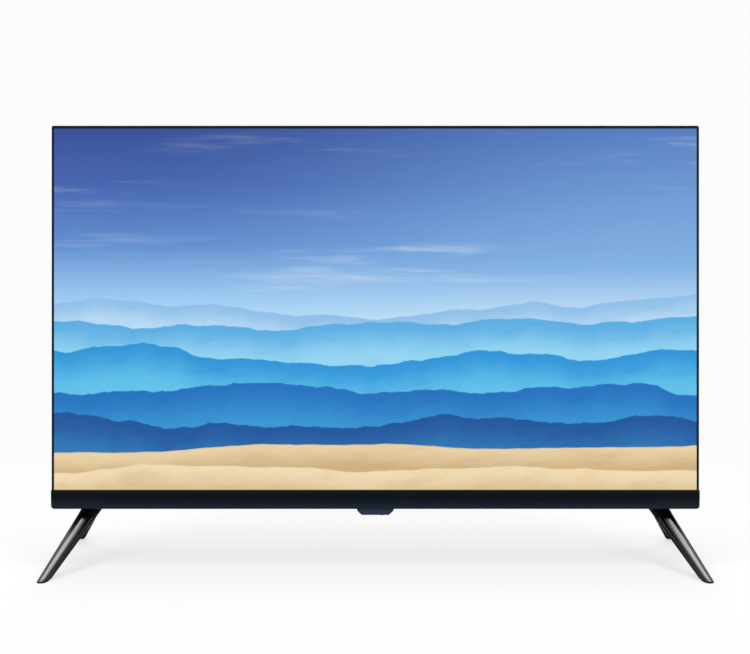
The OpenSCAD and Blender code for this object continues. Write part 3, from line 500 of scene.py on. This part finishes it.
@dataclass(frozen=True)
class Laminate:
    """A printed circuit board: lacquer over tracks, with bare pads."""

    name: str
    colour: Colour
    track: Colour
    pad: Colour = shown(198, 176, 120)
    pitch: float = 900.0
    wander: float = 22.0
    pads: float = 420.0
    depth: float = 0.00004

    def _runs(self, axis: Value, bend: Value) -> Value:
        """Returns tracks that follow one another along an axis."""
        wave = (axis * self.pitch + bend * self.wander).sine()
        return (wave * 0.5 + 0.5).step(0.55, 0.75)

    def material(self) -> bpy.types.Material:
        """Returns the board's material."""
        graph = Graph.of_material(self.name)
        place = graph.place()
        x, _, z = graph.axes()
        bend = graph.noise(place, 45.0, 2.0)
        side = graph.noise(place, 28.0, 1.0).step(0.47, 0.53)
        tracks = self._runs(x, bend) * side + self._runs(z, bend) * (1 - side)
        dots = graph.cells(graph.stretched((1.0, 0.0, 1.0)), self.pads).step(0.9, 0.92)
        lacquer = graph.mix(tracks * 0.8, self.colour, self.track)
        return graph.shader(
            {
                "Base Color": graph.mix(dots, lacquer, self.pad),
                "Metallic": dots * 0.7,
                "Roughness": 0.36 + bend * 0.12 - dots * 0.1,
                "Normal": graph.bump(tracks + dots, self.depth),
            }
        )


@dataclass(frozen=True)
class Sheet:
    """A thin sheet or film with fine lines pressed into it."""

    name: str
    colour: Colour
    roughness: float
    line: float = 0.0003
    depth: float = 0.00001

    def material(self) -> bpy.types.Material:
        """Returns the sheet's material."""
        graph = Graph.of_material(self.name)
        _, _, z = graph.axes()
        cloud = graph.noise(graph.place(), 16.0, 4.0)
        lines = (z * (2 * math.pi / self.line)).sine() * 0.5 + 0.5
        greyer = toned(self.colour, 0.93)
        return graph.shader(
            {
                "Base Color": graph.mix(cloud.step(0.3, 0.7), greyer, self.colour),
                "Roughness": self.roughness + cloud.swing(0.15),
                "Normal": graph.bump(lines, self.depth),
            }
        )


@dataclass(frozen=True)
class Rubber:
    """Rubber or soft sleeve: matt, with a powdery bloom and a pebbled skin."""

    name: str
    colour: Colour
    roughness: float = 0.8
    pebble: float = 0.0008
    depth: float = 0.00006

    def material(self) -> bpy.types.Material:
        """Returns the rubber's material."""
        graph = Graph.of_material(self.name)
        place = graph.place()
        bloom = graph.noise(place, 150.0, 4.0, 0.65)
        pebbles = graph.noise(place, 1 / self.pebble, 2.0)
        paler = toned(self.colour, 1.35, lift=0.006)
        return graph.shader(
            {
                "Base Color": graph.mix(bloom.step(0.4, 0.8), self.colour, paler),
                "Roughness": self.roughness + bloom.swing(0.2),
                "Specular IOR Level": 0.25,
                "Normal": graph.bump(pebbles, self.depth),
            }
        )


@dataclass(frozen=True)
class Ridge:
    """One row of hazy hills or dunes across the picture, which is 1 wide and 1 high."""

    height: float
    swing: float
    waves: float
    seed: float
    crest: Colour
    foot: Colour
    mist: float
    grain: float
    sharpness: float = 0.0035

    def over(self, graph: Graph, u: Value, v: Value, behind: Socket) -> Socket:
        """Lays the row over what is behind it.

        Args:
            graph: The picture's nodes.
            u: Place across the picture.
            v: Place up the picture.
            behind: Colour behind the row.

        Returns:
            The colour with the row in front.
        """
        line = graph.noise(graph.point(u * self.waves, self.seed, 0.0), 1.0, 6.0, 0.5)
        below = line.swing(self.swing) + self.height - v
        fold = graph.point(u * self.waves * 6.0 + below * 9.0, v * 26.0, self.seed)
        slopes = graph.noise(fold, 1.0, 5.0, 0.6)
        fine = graph.noise(graph.point(u * 420.0, v * 300.0, self.seed), 1.0, 2.0)
        haze = (below + slopes.swing(0.06)).step(0.0, self.mist)
        tint = graph.mix(haze, self.crest, self.foot)
        shade = (slopes.step(0.5, 0.72) * 0.8 + fine.step(0.5, 0.8) * 0.4) * self.grain
        tint = graph.mix(shade, tint, toned(self.crest, 0.62))
        return graph.mix(below.step(0.0, self.sharpness), behind, tint)


@dataclass(frozen=True)
class Picture:
    """The lit screen: plain rows of blue hills over pale dunes, behind a matt front."""

    name: str
    left: float
    right: float
    low: float
    high: float
    front: float
    skyline: float = 0.44
    skin: tuple[float, float] = (0.0001, 0.0003)
    depth: float = 0.000004
    side_border: float = 0.00025
    top_border: float = 0.0009
    border_blur: float = 0.00005
    rows: tuple[Ridge, ...] = (
        Ridge(0.51, 0.26, 2.3, 1.3, shown(142, 190, 232), shown(196, 228, 246), 0.1, 0.1),
        Ridge(0.455, 0.22, 2.9, 4.6, shown(88, 172, 226), shown(150, 214, 242), 0.11, 0.14),
        Ridge(0.37, 0.2, 3.3, 7.9, shown(40, 148, 216), shown(96, 194, 234), 0.12, 0.18),
        Ridge(0.28, 0.19, 3.9, 2.2, shown(28, 112, 190), shown(54, 152, 212), 0.13, 0.22),
        Ridge(0.19, 0.17, 4.6, 9.4, shown(24, 84, 156), shown(46, 124, 188), 0.13, 0.26),
        Ridge(0.115, 0.09, 2.1, 5.5, shown(232, 208, 164), shown(206, 176, 128), 0.07, 0.16),
        Ridge(0.06, 0.1, 3.0, 8.3, shown(240, 218, 178), shown(216, 188, 142), 0.08, 0.18),
    )

    def material(self) -> bpy.types.Material:
        """Returns the screen's material."""
        graph = Graph.of_material(self.name)
        x, y, z = graph.axes()
        u = (x - self.left) / (self.right - self.left)
        v = (z - self.low) / (self.high - self.low)
        scene = self._sky(graph, u, v)
        for row in self.rows:
            scene = row.over(graph, u, v, scene)
        grain = graph.noise(graph.place(), 2600.0, 1.0)
        face = 1 - y.step(self.front + self.skin[0], self.front + self.skin[1])
        lit = graph.mix(face * self._open(x, z), BLACK, scene)
        return graph.shader(
            {
                "Base Color": graph.mix(face, shown(40, 48, 52), shown(6, 7, 9)),
                "Roughness": 0.42 + grain.swing(0.08),
                "Specular IOR Level": 0.12,
                "Emission Color": lit,
                "Emission Strength": 1.0,
                "Normal": graph.bump(grain, self.depth),
            }
        )

    def _past(self, value: Value, limit: float) -> Value:
        """Returns 0 up to a limit in metres and 1 past it."""
        return value.step(limit - self.border_blur, limit + self.border_blur)

    def _open(self, x: Value, z: Value) -> Value:
        """Returns 1 on the lit part, and 0 in the dark border inside the rim."""
        across = self._past(x, self.left + self.side_border)
        across *= 1 - self._past(x, self.right - self.side_border)
        return across * (1 - self._past(z, self.high - self.top_border))

    def _sky(self, graph: Graph, u: Value, v: Value) -> Socket:
        """Returns the sky's colour, with long thin clouds."""
        up = (v - self.skyline) / (1 - self.skyline)
        left = graph.ramp(
            up,
            (
                (0.0, shown(190, 226, 246)),
                (0.16, shown(152, 200, 240)),
                (0.42, shown(94, 140, 206)),
                (0.72, shown(64, 98, 174)),
                (1.0, shown(48, 74, 148)),
            ),
        )
        right = graph.ramp(
            up,
            (
                (0.0, shown(206, 232, 248)),
                (0.3, shown(130, 178, 228)),
                (1.0, shown(82, 122, 192)),
            ),
        )
        sky = graph.mix(u.step(0.1, 1.0), left, right)
        drift = graph.point(u * 2.2 + up * 0.7, up * 9.0, 0.4)
        wisps = graph.noise(drift, 1.3, 7.0, 0.58)
        cover = graph.noise(graph.point(u * 1.6, up * 2.4, 3.1), 1.0, 2.0)
        clouds = wisps.step(0.5, 0.78) * cover.step(0.42, 0.62) * up.step(0.04, 0.3)
        return graph.mix(clouds * 0.55, sky, shown(222, 232, 246))


@dataclass(frozen=True)
class Lacquer:
    """Gloss black with a painted reflection: its colour turns from warm near the upper edge to
    slate at the lower edge, in place of what the bar would reflect.
    """

    name: str
    low: float
    high: float
    # Painted reflection: the warm upper colour and the slate foot colour stand in for reflections;
    # the middle colour is the bar's own black
    upper_painted_reflection: Colour = shown(25, 20, 17)
    middle: Colour = shown(3, 9, 16)
    foot: Colour = shown(22, 34, 45)
    wiped: Colour = shown(30, 36, 44)
    roughness: float = 0.2
    specular: float = 0.06
    wave: float = 0.000012

    def material(self) -> bpy.types.Material:
        """Returns the bar's material."""
        graph = Graph.of_material(self.name)
        _, _, z = graph.axes()
        haze = graph.noise(graph.stretched((5.0, 24.0, 24.0)), 1.0, 4.0, 0.6)
        marks = graph.noise(graph.stretched(WIPING), 1.0, 2.0)
        waves = graph.noise(graph.place(), MOULD_WAVES, 1.0)
        up = (z - self.low) / (self.high - self.low) + haze.swing(0.12)
        # Painted reflection: a ramp up the bar from the slate foot to the warm upper edge
        tint = graph.ramp(
            up, ((0.04, self.foot), (0.58, self.middle), (0.82, self.middle), (1.0, self.upper_painted_reflection))
        )
        return graph.shader(
            {
                "Base Color": graph.mix(marks.step(0.58, 0.8) * 0.35, tint, self.wiped),
                "Roughness": self.roughness + haze.swing(0.1) + marks.step(0.62, 0.8) * 0.05,
                "Specular IOR Level": self.specular,
                "Normal": graph.bump(waves + marks * 0.15, self.wave),
            }
        )


@dataclass(frozen=True)
class SmokedLens:
    """Smoked violet plastic of the sensor window, darker towards its two ends."""

    name: str
    half: float
    colour: Colour = shown(36, 44, 74)
    end: Colour = shown(26, 33, 50)
    roughness: float = 0.2
    specular: float = 0.12
    depth: float = 0.000008

    def material(self) -> bpy.types.Material:
        """Returns the window's material."""
        graph = Graph.of_material(self.name)
        x, _, _ = graph.axes()
        cloud = graph.noise(graph.place(), 130.0, 3.0)
        swirl = graph.noise(graph.place(), 420.0, 2.0)
        out = (x * x) ** 0.5 / self.half + cloud.swing(0.16)
        return graph.shader(
            {
                "Base Color": graph.mix(out.step(0.55, 1.0), self.colour, self.end),
                "Roughness": self.roughness + cloud.swing(0.12),
                "Specular IOR Level": self.specular,
                "Normal": graph.bump(swirl, self.depth),
            }
        )


@dataclass(frozen=True)
class Softening:
    """Rounds the sharp edges of a piece from the frame, as its mould or press leaves them."""

    width: float
    segments: int = 3
    angle: float = math.radians(32.0)
    weld: float = 0.000002
    flat: float = math.radians(0.4)

    def apply(self, node: str) -> None:
        """Adds the modifiers that round a node's edges."""
        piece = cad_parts[node]
        joined = piece.modifiers.new("joined", "WELD")
        joined.merge_threshold = self.weld
        plain = piece.modifiers.new("plain", "DECIMATE")
        plain.decimate_type = "DISSOLVE"
        plain.angle_limit = self.flat
        edge = piece.modifiers.new("edge", "BEVEL")
        edge.width = self.width
        edge.segments = self.segments
        edge.limit_method = "ANGLE"
        edge.angle_limit = self.angle
        edge.harden_normals = True


@dataclass(frozen=True)
class Loft:
    """A closed skin over a stack of outlines that all have the same number of points."""

    name: str
    rings: Sequence[Sequence[Point]]
    crease: float = math.radians(35.0)

    def build(self) -> bpy.types.Object:
        """Returns the piece, smooth apart from its creases."""
        shape = bmesh.new()
        rows = [[shape.verts.new(point) for point in ring] for ring in self.rings]
        for below, above in zip(rows, rows[1:]):
            for i in range(len(below)):
                j = (i + 1) % len(below)
                shape.faces.new((below[i], below[j], above[j], above[i]))
        shape.faces.new(list(reversed(rows[0])))
        shape.faces.new(rows[-1])
        bmesh.ops.recalc_face_normals(shape, faces=shape.faces)
        mesh = bpy.data.meshes.new(self.name)
        shape.to_mesh(mesh)
        shape.free()
        for face in mesh.polygons:
            face.use_smooth = True
        mesh.set_sharp_from_angle(angle=self.crease)
        piece = bpy.data.objects.new(self.name, mesh)
        bpy.context.scene.collection.objects.link(piece)
        return piece


def quarter(radius: float, depth: float) -> float:
    """Returns how far a rounded edge draws in.

    Args:
        radius: Radius of the edge.
        depth: Distance from the face that the edge ends at, from 0 outwards.

    Returns:
        The set-back, from the radius at no depth to 0 at a depth of the radius.
    """
    short = max(0.0, radius - depth)
    return radius - math.sqrt(max(0.0, radius * radius - short * short))


def eased(count: int) -> list[float]:
    """Returns places from 0 to 1 that lie closest together at 0."""
    return [1 - math.cos(math.pi / 2 * i / count) for i in range(count + 1)]


class SubAssembly:
    """Pieces that are built and dressed together."""

    title: ClassVar[str] = "pieces"

    def build(self) -> None:
        """Builds the meshes that the frame doesn't have and rounds those that it has."""

    def dress(self) -> None:
        """Gives every piece its finish."""

    def wear(self, finish: Finish, *nodes: str) -> bpy.types.Material:
        """Puts a finish on pieces from the frame and reports each.

        Args:
            finish: The finish.
            nodes: Names of the pieces.

        Returns:
            The finish's material.
        """
        material = finish.material()
        for node in nodes:
            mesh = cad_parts[node].data
            mesh.materials.clear()
            mesh.materials.append(material)
            LOG.info("%s: %s in %s", self.title, node, material.name)
        return material

    @staticmethod
    def soften(width: float, *nodes: str) -> None:
        """Rounds the edges of pieces from the frame by a width in metres."""
        for node in nodes:
            Softening(width).apply(node)


@dataclass
class Front(SubAssembly):
    """Rim, bottom bar, sensor tab and power key."""

    title: ClassVar[str] = "front"
    rim_edge: float = 0.0004
    tab_edge: float = 0.0006
    key_edge: float = 0.0002
    upright: float = 0.009
    lean: float = 0.0011
    lean_blend: float = 0.004
    lower_round: float = 0.001
    corner_round: float = 0.0036
    top_round: float = 0.0006
    side_round: float = 0.0005
    corner_steps: int = 12
    blend_steps: int = 6
    top_steps: int = 5
    side_steps: int = 4
    bar: bpy.types.Object | None = None

    def build(self) -> None:
        """Rounds the rim, the tab and the key, and builds the bar."""
        self.soften(self.rim_edge, "front_frame")
        self.soften(self.tab_edge, "sensor_tab")
        self.soften(self.key_edge, "power_key")
        self.bar = Loft("bar_shell", [self._bar_ring(z) for z in self._bar_heights()]).build()
        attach(self.bar, SET_BODY)
        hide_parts("bottom_bar")

    def _bar_heights(self) -> list[float]:
        """Returns the heights of the bar's outlines, close together where it turns."""
        low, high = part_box("bottom_bar")
        turn = high.z - self.upright
        blend = range(2 * self.blend_steps + 1)
        heights = {low.z + self.corner_round * place for place in eased(self.corner_steps)}
        heights |= {turn + self.lean_blend * (i / self.blend_steps - 1) for i in blend}
        heights |= {high.z - self.top_round * place for place in eased(self.top_steps)}
        return sorted(heights)

    def _bar_front(self, z: float) -> float:
        """Returns the depth of the bar's face at a height."""
        low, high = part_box("bottom_bar")
        below = high.z - self.upright - z
        slope = self.lean / (high.z - self.upright - low.z - self.lower_round)
        if below <= -self.lean_blend:
            set_back = 0.0
        elif below < self.lean_blend:
            set_back = slope * (below + self.lean_blend) ** 2 / (4 * self.lean_blend)
        else:
            set_back = slope * below
        set_back += quarter(self.lower_round, z - low.z) + quarter(self.top_round, high.z - z)
        return low.y + set_back

    def _bar_ring(self, z: float) -> list[Point]:
        """Returns the bar's outline at a height, with its upright edges rounded."""
        low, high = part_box("bottom_bar")
        half = high.x - quarter(self.corner_round, z - low.z) - quarter(self.top_round, high.z - z)
        front, back, bend = self._bar_front(z), high.y, self.side_round
        inner, start = half - bend, front + bend
        turns = [math.pi / 2 * step / self.side_steps for step in range(self.side_steps + 1)]
        arcs = [(bend * math.sin(turn), bend * math.cos(turn)) for turn in turns]
        right = [(inner + sine, start - cosine, z) for sine, cosine in arcs]
        left = [(-inner - cosine, start - sine, z) for sine, cosine in arcs]
        return right + [(half, back, z), (-half, back, z)] + left

    def dress(self) -> None:
        """Dresses the front in satin and gloss black, and the tab as a smoked window."""
        low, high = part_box("bottom_bar")
        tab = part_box("sensor_tab")[1]
        # The bar's colour carries a painted reflection, slate at its foot and warm near its upper
        # edge
        gloss = self.wear(Lacquer("bar_gloss_black", low.z, high.z), "bottom_bar")
        self.bar.data.materials.append(gloss)
        LOG.info("%s: %s in %s", self.title, self.bar.name, gloss.name)
        self.wear(
            Moulded(
                "rim_satin_black", shown(15, 19, 32), roughness=0.4, specular=0.12,
                grain=0.0004, depth=0.000004,
            ),
            "front_frame",
        )
        self.wear(SmokedLens("smoked_violet", tab.x), "sensor_tab")
        self.wear(
            Moulded("key_black", shown(24, 26, 34), roughness=0.45, specular=0.2, grain=0.0003),
            "power_key",
        )


@dataclass
class Screen(SubAssembly):
    """The glass and its picture."""

    title: ClassVar[str] = "screen"
    rim: float = 0.0022

    def dress(self) -> None:
        """Puts the lit picture on the part of the glass that the rim leaves open."""
        rim_low, rim_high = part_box("front_frame")
        picture = Picture(
            "lit_screen",
            rim_low.x + self.rim,
            rim_high.x - self.rim,
            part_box("bottom_bar")[1].z,
            rim_high.z - self.rim,
            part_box("lcd_cell")[0].y,
        )
        self.wear(picture, "lcd_cell")


@dataclass
class Back(SubAssembly):
    """Rear cover, its screws and the wall-mount posts."""

    title: ClassVar[str] = "back"
    cover_edge: float = 0.0007
    post_edge: float = 0.0003
    grain: float = 0.0007
    turning: Point = (900.0, 60.0, 900.0)

    def build(self) -> None:
        """Rounds the cover's edges and breaks those of the posts."""
        self.soften(self.cover_edge, "rear_cover")
        self.soften(self.post_edge, "wall_mount_posts")

    def dress(self) -> None:
        """Dresses the cover in grained plastic, and its fixings as metal."""
        self.wear(
            Moulded(
                "cover_grained_black", shown(24, 24, 27), roughness=0.55,
                grain=self.grain, depth=0.00008, unevenness=0.18,
            ),
            "rear_cover",
        )
        self.wear(
            Metal("screw_black_oxide", shown(46, 46, 48), 0.42, Surface.OXIDE),
            "cover_screws", "leg_screws",
        )
        self.wear(
            Metal("post_zinc", shown(190, 192, 196), 0.3, Surface.BRUSHED, self.turning),
            "wall_mount_posts",
        )


@dataclass
class LightBox(SubAssembly):
    """Frame, films, lamps and tray behind the glass."""

    title: ClassVar[str] = "light box"
    film_line: float = 0.0002
    sheet_line: float = 0.002

    def dress(self) -> None:
        """Dresses the stack from the frame to the tray."""
        self.wear(Moulded("inner_black", shown(22, 22, 23)), "mid_frame")
        self.wear(
            Sheet("clear_film", shown(224, 230, 238), roughness=0.25, line=self.film_line),
            "prism_film", "diffuser_film",
        )
        self.wear(
            Sheet(
                "white_sheet", shown(244, 244, 244), roughness=0.7,
                line=self.sheet_line, depth=0.000004,
            ),
            "diffuser_plate", "diffuser_supports", "reflector_sheet",
        )
        self.wear(
            Moulded(
                "strip_white", shown(232, 230, 220), roughness=0.42, specular=0.4, grain=0.0009
            ),
            "led_strips",
        )
        self.wear(
            Polished("lens_clear", shown(214, 228, 240), roughness=0.08, specular=0.5),
            "led_lenses",
        )
        self.wear(
            Metal("zinc_sheet", shown(186, 189, 194), 0.38, Surface.SPANGLED),
            "back_tray", "board_spacers", "left_leg_bracket", "right_leg_bracket",
        )


@dataclass
class Boards(SubAssembly):
    """The boards and what they carry."""

    title: ClassVar[str] = "boards"
    flex_line: float = 0.0006
    upright_fins: Point = (900.0, 900.0, 40.0)
    deep_fins: Point = (900.0, 40.0, 900.0)

    def dress(self) -> None:
        """Dresses the boards and their components."""
        self.wear(
            Laminate("board_green", shown(18, 78, 44), shown(40, 116, 66)),
            "source_board", "main_board", "sensor_board",
        )
        self.wear(Laminate("board_tan", shown(158, 128, 74), shown(176, 150, 92)), "power_board")
        self.wear(
            Sheet("flex_amber", shown(190, 128, 40), roughness=0.3, line=self.flex_line),
            "panel_flex",
        )
        self.wear(
            Moulded("chip_resin", shown(28, 28, 29), roughness=0.6, grain=0.0003),
            "processor", "ir_receiver", "tact_switch",
        )
        self.wear(
            Metal("black_aluminium", shown(46, 46, 49), 0.4, Surface.BRUSHED, self.upright_fins),
            "main_heatsink",
        )
        self.wear(
            Metal("bare_aluminium", shown(188, 190, 193), 0.34, Surface.BRUSHED, self.deep_fins),
            "power_heatsink",
        )
        self.wear(
            Moulded("ferrite_core", shown(62, 56, 50), roughness=0.6, grain=0.0005), "transformer"
        )
        self.wear(
            Polished("capacitor_sleeve", shown(26, 32, 78), roughness=0.25, specular=0.4),
            "capacitors",
        )


@dataclass
class Sockets(SubAssembly):
    """Sockets of the two bays."""

    title: ClassVar[str] = "sockets"
    shell_edge: float = 0.00015
    sleeve_edge: float = 0.0003
    body_edge: float = 0.0004
    drawing: Point = (60.0, 900.0, 900.0)

    def build(self) -> None:
        """Rounds the mouths of the sockets."""
        self.soften(self.shell_edge, "hdmi_sockets", "usb_socket")
        self.soften(
            self.sleeve_edge,
            "video_sleeve", "left_audio_sleeve", "right_audio_sleeve",
            "aerial_socket", "headphone_socket",
        )
        self.soften(self.body_edge, "mains_inlet", "av_block")

    def dress(self) -> None:
        """Dresses the sockets, the round ones in their three colours."""
        self.wear(
            Metal("socket_nickel", shown(196, 197, 200), 0.24, Surface.PLATED, self.drawing),
            "hdmi_sockets", "usb_socket", "aerial_socket",
        )
        self.wear(
            Metal("pin_brass", shown(206, 196, 170), 0.26, Surface.PLATED, self.drawing),
            "inlet_pins",
        )
        self.wear(
            Moulded("socket_black", shown(20, 20, 21), roughness=0.42, grain=0.0004),
            "headphone_socket", "mains_inlet", "av_block",
        )
        for node, name, colour in (
            ("video_sleeve", "sleeve_yellow", shown(226, 186, 40)),
            ("left_audio_sleeve", "sleeve_white", shown(226, 224, 216)),
            ("right_audio_sleeve", "sleeve_red", shown(186, 34, 30)),
        ):
            self.wear(
                Moulded(
                    name, colour, roughness=0.36, specular=0.4,
                    grain=0.0005, depth=0.00002, unevenness=0.08,
                ),
                node,
            )


@dataclass
class Speakers(SubAssembly):
    """Speaker boxes, drivers and cones."""

    title: ClassVar[str] = "speakers"
    box_edge: float = 0.0006

    def build(self) -> None:
        """Rounds the boxes' edges."""
        self.soften(self.box_edge, "left_speaker_box", "right_speaker_box")

    def dress(self) -> None:
        """Dresses the boxes, the steel baskets and the paper cones."""
        self.wear(
            Moulded("speaker_black", shown(24, 24, 24)), "left_speaker_box", "right_speaker_box"
        )
        self.wear(
            Metal("driver_steel", shown(120, 120, 124), 0.36, Surface.SPANGLED), "speaker_drivers"
        )
        self.wear(
            Rubber("cone_paper", shown(32, 32, 32), roughness=0.85, pebble=0.0005),
            "speaker_cones",
        )


@dataclass
class Legs(SubAssembly):
    """Moulded leg roots with their rear arms, plated front arms and foot pads."""

    title: ClassVar[str] = "legs"
    body_edge: float = 0.0006
    tube_edge: float = 0.0004

    def build(self) -> None:
        """Rounds the roots' edges and the ends of the plated arms."""
        self.soften(self.body_edge, "left_leg_body", "right_leg_body")
        self.soften(self.tube_edge, "left_leg_tube", "right_leg_tube")

    def dress(self) -> None:
        """Dresses the roots in satin black and the front arms in black nickel with painted shade on
        their inner side.
        """
        self.wear(
            Moulded(
                "leg_satin_black", shown(8, 10, 13), specular=0.03, grain=0.0005, depth=0.00001
            ),
            "left_leg_body", "right_leg_body",
        )
        self.wear(BlackNickel("leg_black_nickel"), "left_leg_tube", "right_leg_tube")
        self.wear(Rubber("foot_rubber", shown(12, 12, 12)), "foot_pads")


@dataclass
class Leads(SubAssembly):
    """Leads inside the cover."""

    title: ClassVar[str] = "leads"
    core_pitch: float = 0.001

    def dress(self) -> None:
        """Dresses the ribbon and the round leads."""
        self.wear(
            Sheet("ribbon_white", shown(218, 218, 210), roughness=0.5, line=self.core_pitch),
            "ribbon_cable", "key_lead",
        )
        for node, name, colour in (
            ("speaker_leads", "lead_black", shown(28, 28, 28)),
            ("backlight_lead", "lead_red", shown(166, 32, 26)),
        ):
            self.wear(Rubber(name, colour, roughness=0.6, pebble=0.0006), node)


@dataclass(frozen=True)
class Softbox:
    """A soft rectangular lamp of the studio."""

    name: str
    place: Point
    aim: Point
    width: float
    height: float
    watts: float

    def build(self) -> None:
        """Hangs the lamp at its place and turns it to its aim."""
        data = bpy.data.lights.new(self.name, "AREA")
        data.shape = "RECTANGLE"
        data.size = self.width
        data.size_y = self.height
        data.energy = self.watts
        lamp = bpy.data.objects.new(self.name, data)
        lamp.location = self.place
        turn = (Vector(self.aim) - Vector(self.place)).to_track_quat("-Z", "Y")
        lamp.rotation_euler = turn.to_euler()
        bpy.context.scene.collection.objects.link(lamp)


@dataclass
class Studio:
    """Floor, backdrop, lamps and camera."""

    floor_reach: float = 14.0
    floor_sides: int = 96
    shadow_start: float = 0.25
    shadow_reach: float = 1.1
    near_glow: float = 0.62
    pale: Colour = (0.79, 0.79, 0.79, 1.0)
    paler: Colour = (0.81, 0.81, 0.81, 1.0)
    white: float = 0.972
    ambient: float = 0.42
    distance: float = 1.21
    scale: float = 0.0010842
    middle_column: float = 375.33
    horizon_row: float = 260.0
    top_row: float = 125.65
    lamps: tuple[Softbox, ...] = (
        Softbox("top_softbox", (0.0, -0.1, 1.95), (0.0, 0.0, 0.0), 2.0, 1.0, 24.0),
        Softbox("left_softbox", (-1.5, -1.9, 1.7), (0.0, 0.0, 0.25), 1.2, 1.2, 24.0),
        Softbox("right_softbox", (1.5, -1.9, 1.7), (0.0, 0.0, 0.25), 1.2, 1.2, 24.0),
        Softbox("rear_softbox", (0.0, 2.1, 1.8), (0.0, 0.0, 0.25), 1.8, 1.2, 30.0),
    )

    def build(self) -> None:
        """Builds the floor, the world, the lamps and the camera."""
        self._floor()
        self._world()
        for lamp in self.lamps:
            lamp.build()
        self._camera()
        bpy.context.scene.view_settings.view_transform = "Standard"
        LOG.info("studio: floor, backdrop, %d lamps and camera", len(self.lamps))

    def _floor(self) -> None:
        """Lays a round pale floor whose far part fades into the white backdrop."""
        mesh = bpy.data.meshes.new("floor")
        shape = bmesh.new()
        bmesh.ops.create_circle(
            shape, cap_ends=True, segments=self.floor_sides, radius=self.floor_reach
        )
        shape.to_mesh(mesh)
        shape.free()
        floor = bpy.data.objects.new("floor", mesh)
        bpy.context.scene.collection.objects.link(floor)
        mesh.materials.append(self._floor_material())

    def _floor_material(self) -> bpy.types.Material:
        """Returns the floor's paper, which keeps the shadow near the set."""
        graph = Graph.of_material("floor_paper")
        x, y, _ = graph.axes()
        away = ((x * x + y * y) ** 0.5).step(self.shadow_start, self.shadow_reach)
        fibre = graph.noise(graph.place(), 60.0, 3.0)
        paper = graph.node(
            "ShaderNodeBsdfDiffuse", None, {"Color": graph.mix(fibre, self.pale, self.paler)}
        )
        glow = graph.node("ShaderNodeEmission", None, {"Color": WHITE, "Strength": self.white})
        camera, mirrored = self._seen(graph)
        share = camera * (self.near_glow + away * (1 - self.near_glow)) + mirrored * away
        mixed = graph.node(
            "ShaderNodeMixShader", None, {0: share, 1: paper.outputs[0], 2: glow.outputs[0]}
        )
        graph.node("ShaderNodeOutputMaterial", None, {"Surface": mixed.outputs[0]})
        return graph.owner

    @staticmethod
    def _seen(graph: Graph) -> tuple[Value, Value]:
        """Returns 1 for rays straight from the camera, and 1 for rays seen in gloss or glass."""
        path = graph.node("ShaderNodeLightPath")
        gloss = Value(graph, path.outputs["Is Glossy Ray"])
        glass = Value(graph, path.outputs["Is Transmission Ray"])
        return Value(graph, path.outputs["Is Camera Ray"]), gloss.larger(glass)

    def _world(self) -> None:
        """Sets a soft white surround, seen at full white and lit at a plain level."""
        world = bpy.data.worlds.new("studio")
        bpy.context.scene.world = world
        graph = Graph(world)
        camera, mirrored = self._seen(graph)
        strength = self.ambient + camera.larger(mirrored) * (self.white - self.ambient)
        back = graph.node("ShaderNodeBackground", None, {"Color": WHITE, "Strength": strength})
        graph.node("ShaderNodeOutputWorld", None, {"Surface": back.outputs[0]})

    def _camera(self) -> None:
        """Sets a level camera square to the screen, framed by a shift."""
        rim_low, rim_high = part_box("front_frame")
        data = bpy.data.cameras.new("camera")
        data.sensor_width = SENSOR_WIDTH
        data.lens = SENSOR_WIDTH * self.distance / (IMAGE_WIDTH * self.scale)
        data.shift_x = (IMAGE_WIDTH / 2 - self.middle_column) / IMAGE_WIDTH
        data.shift_y = (self.horizon_row - IMAGE_HEIGHT / 2) / IMAGE_WIDTH
        camera = bpy.data.objects.new("camera", data)
        height = rim_high.z - (self.horizon_row - self.top_row) * self.scale
        camera.location = (0.0, rim_low.y - self.distance, height)
        camera.rotation_euler = (math.radians(90.0), 0.0, 0.0)
        bpy.context.scene.collection.objects.link(camera)
        bpy.context.scene.camera = camera


def main() -> None:
    """Builds the studio, then each part of the set in turn."""
    logging.basicConfig(level=logging.INFO, format="%(name)s: %(message)s")
    Studio().build()
    parts: Iterable[SubAssembly] = (
        Front(), Screen(), Back(), LightBox(), Boards(), Sockets(), Speakers(), Legs(), Leads(),
    )
    for part in parts:
        part.build()
        part.dress()


if __name__ == "__main__":
    main()
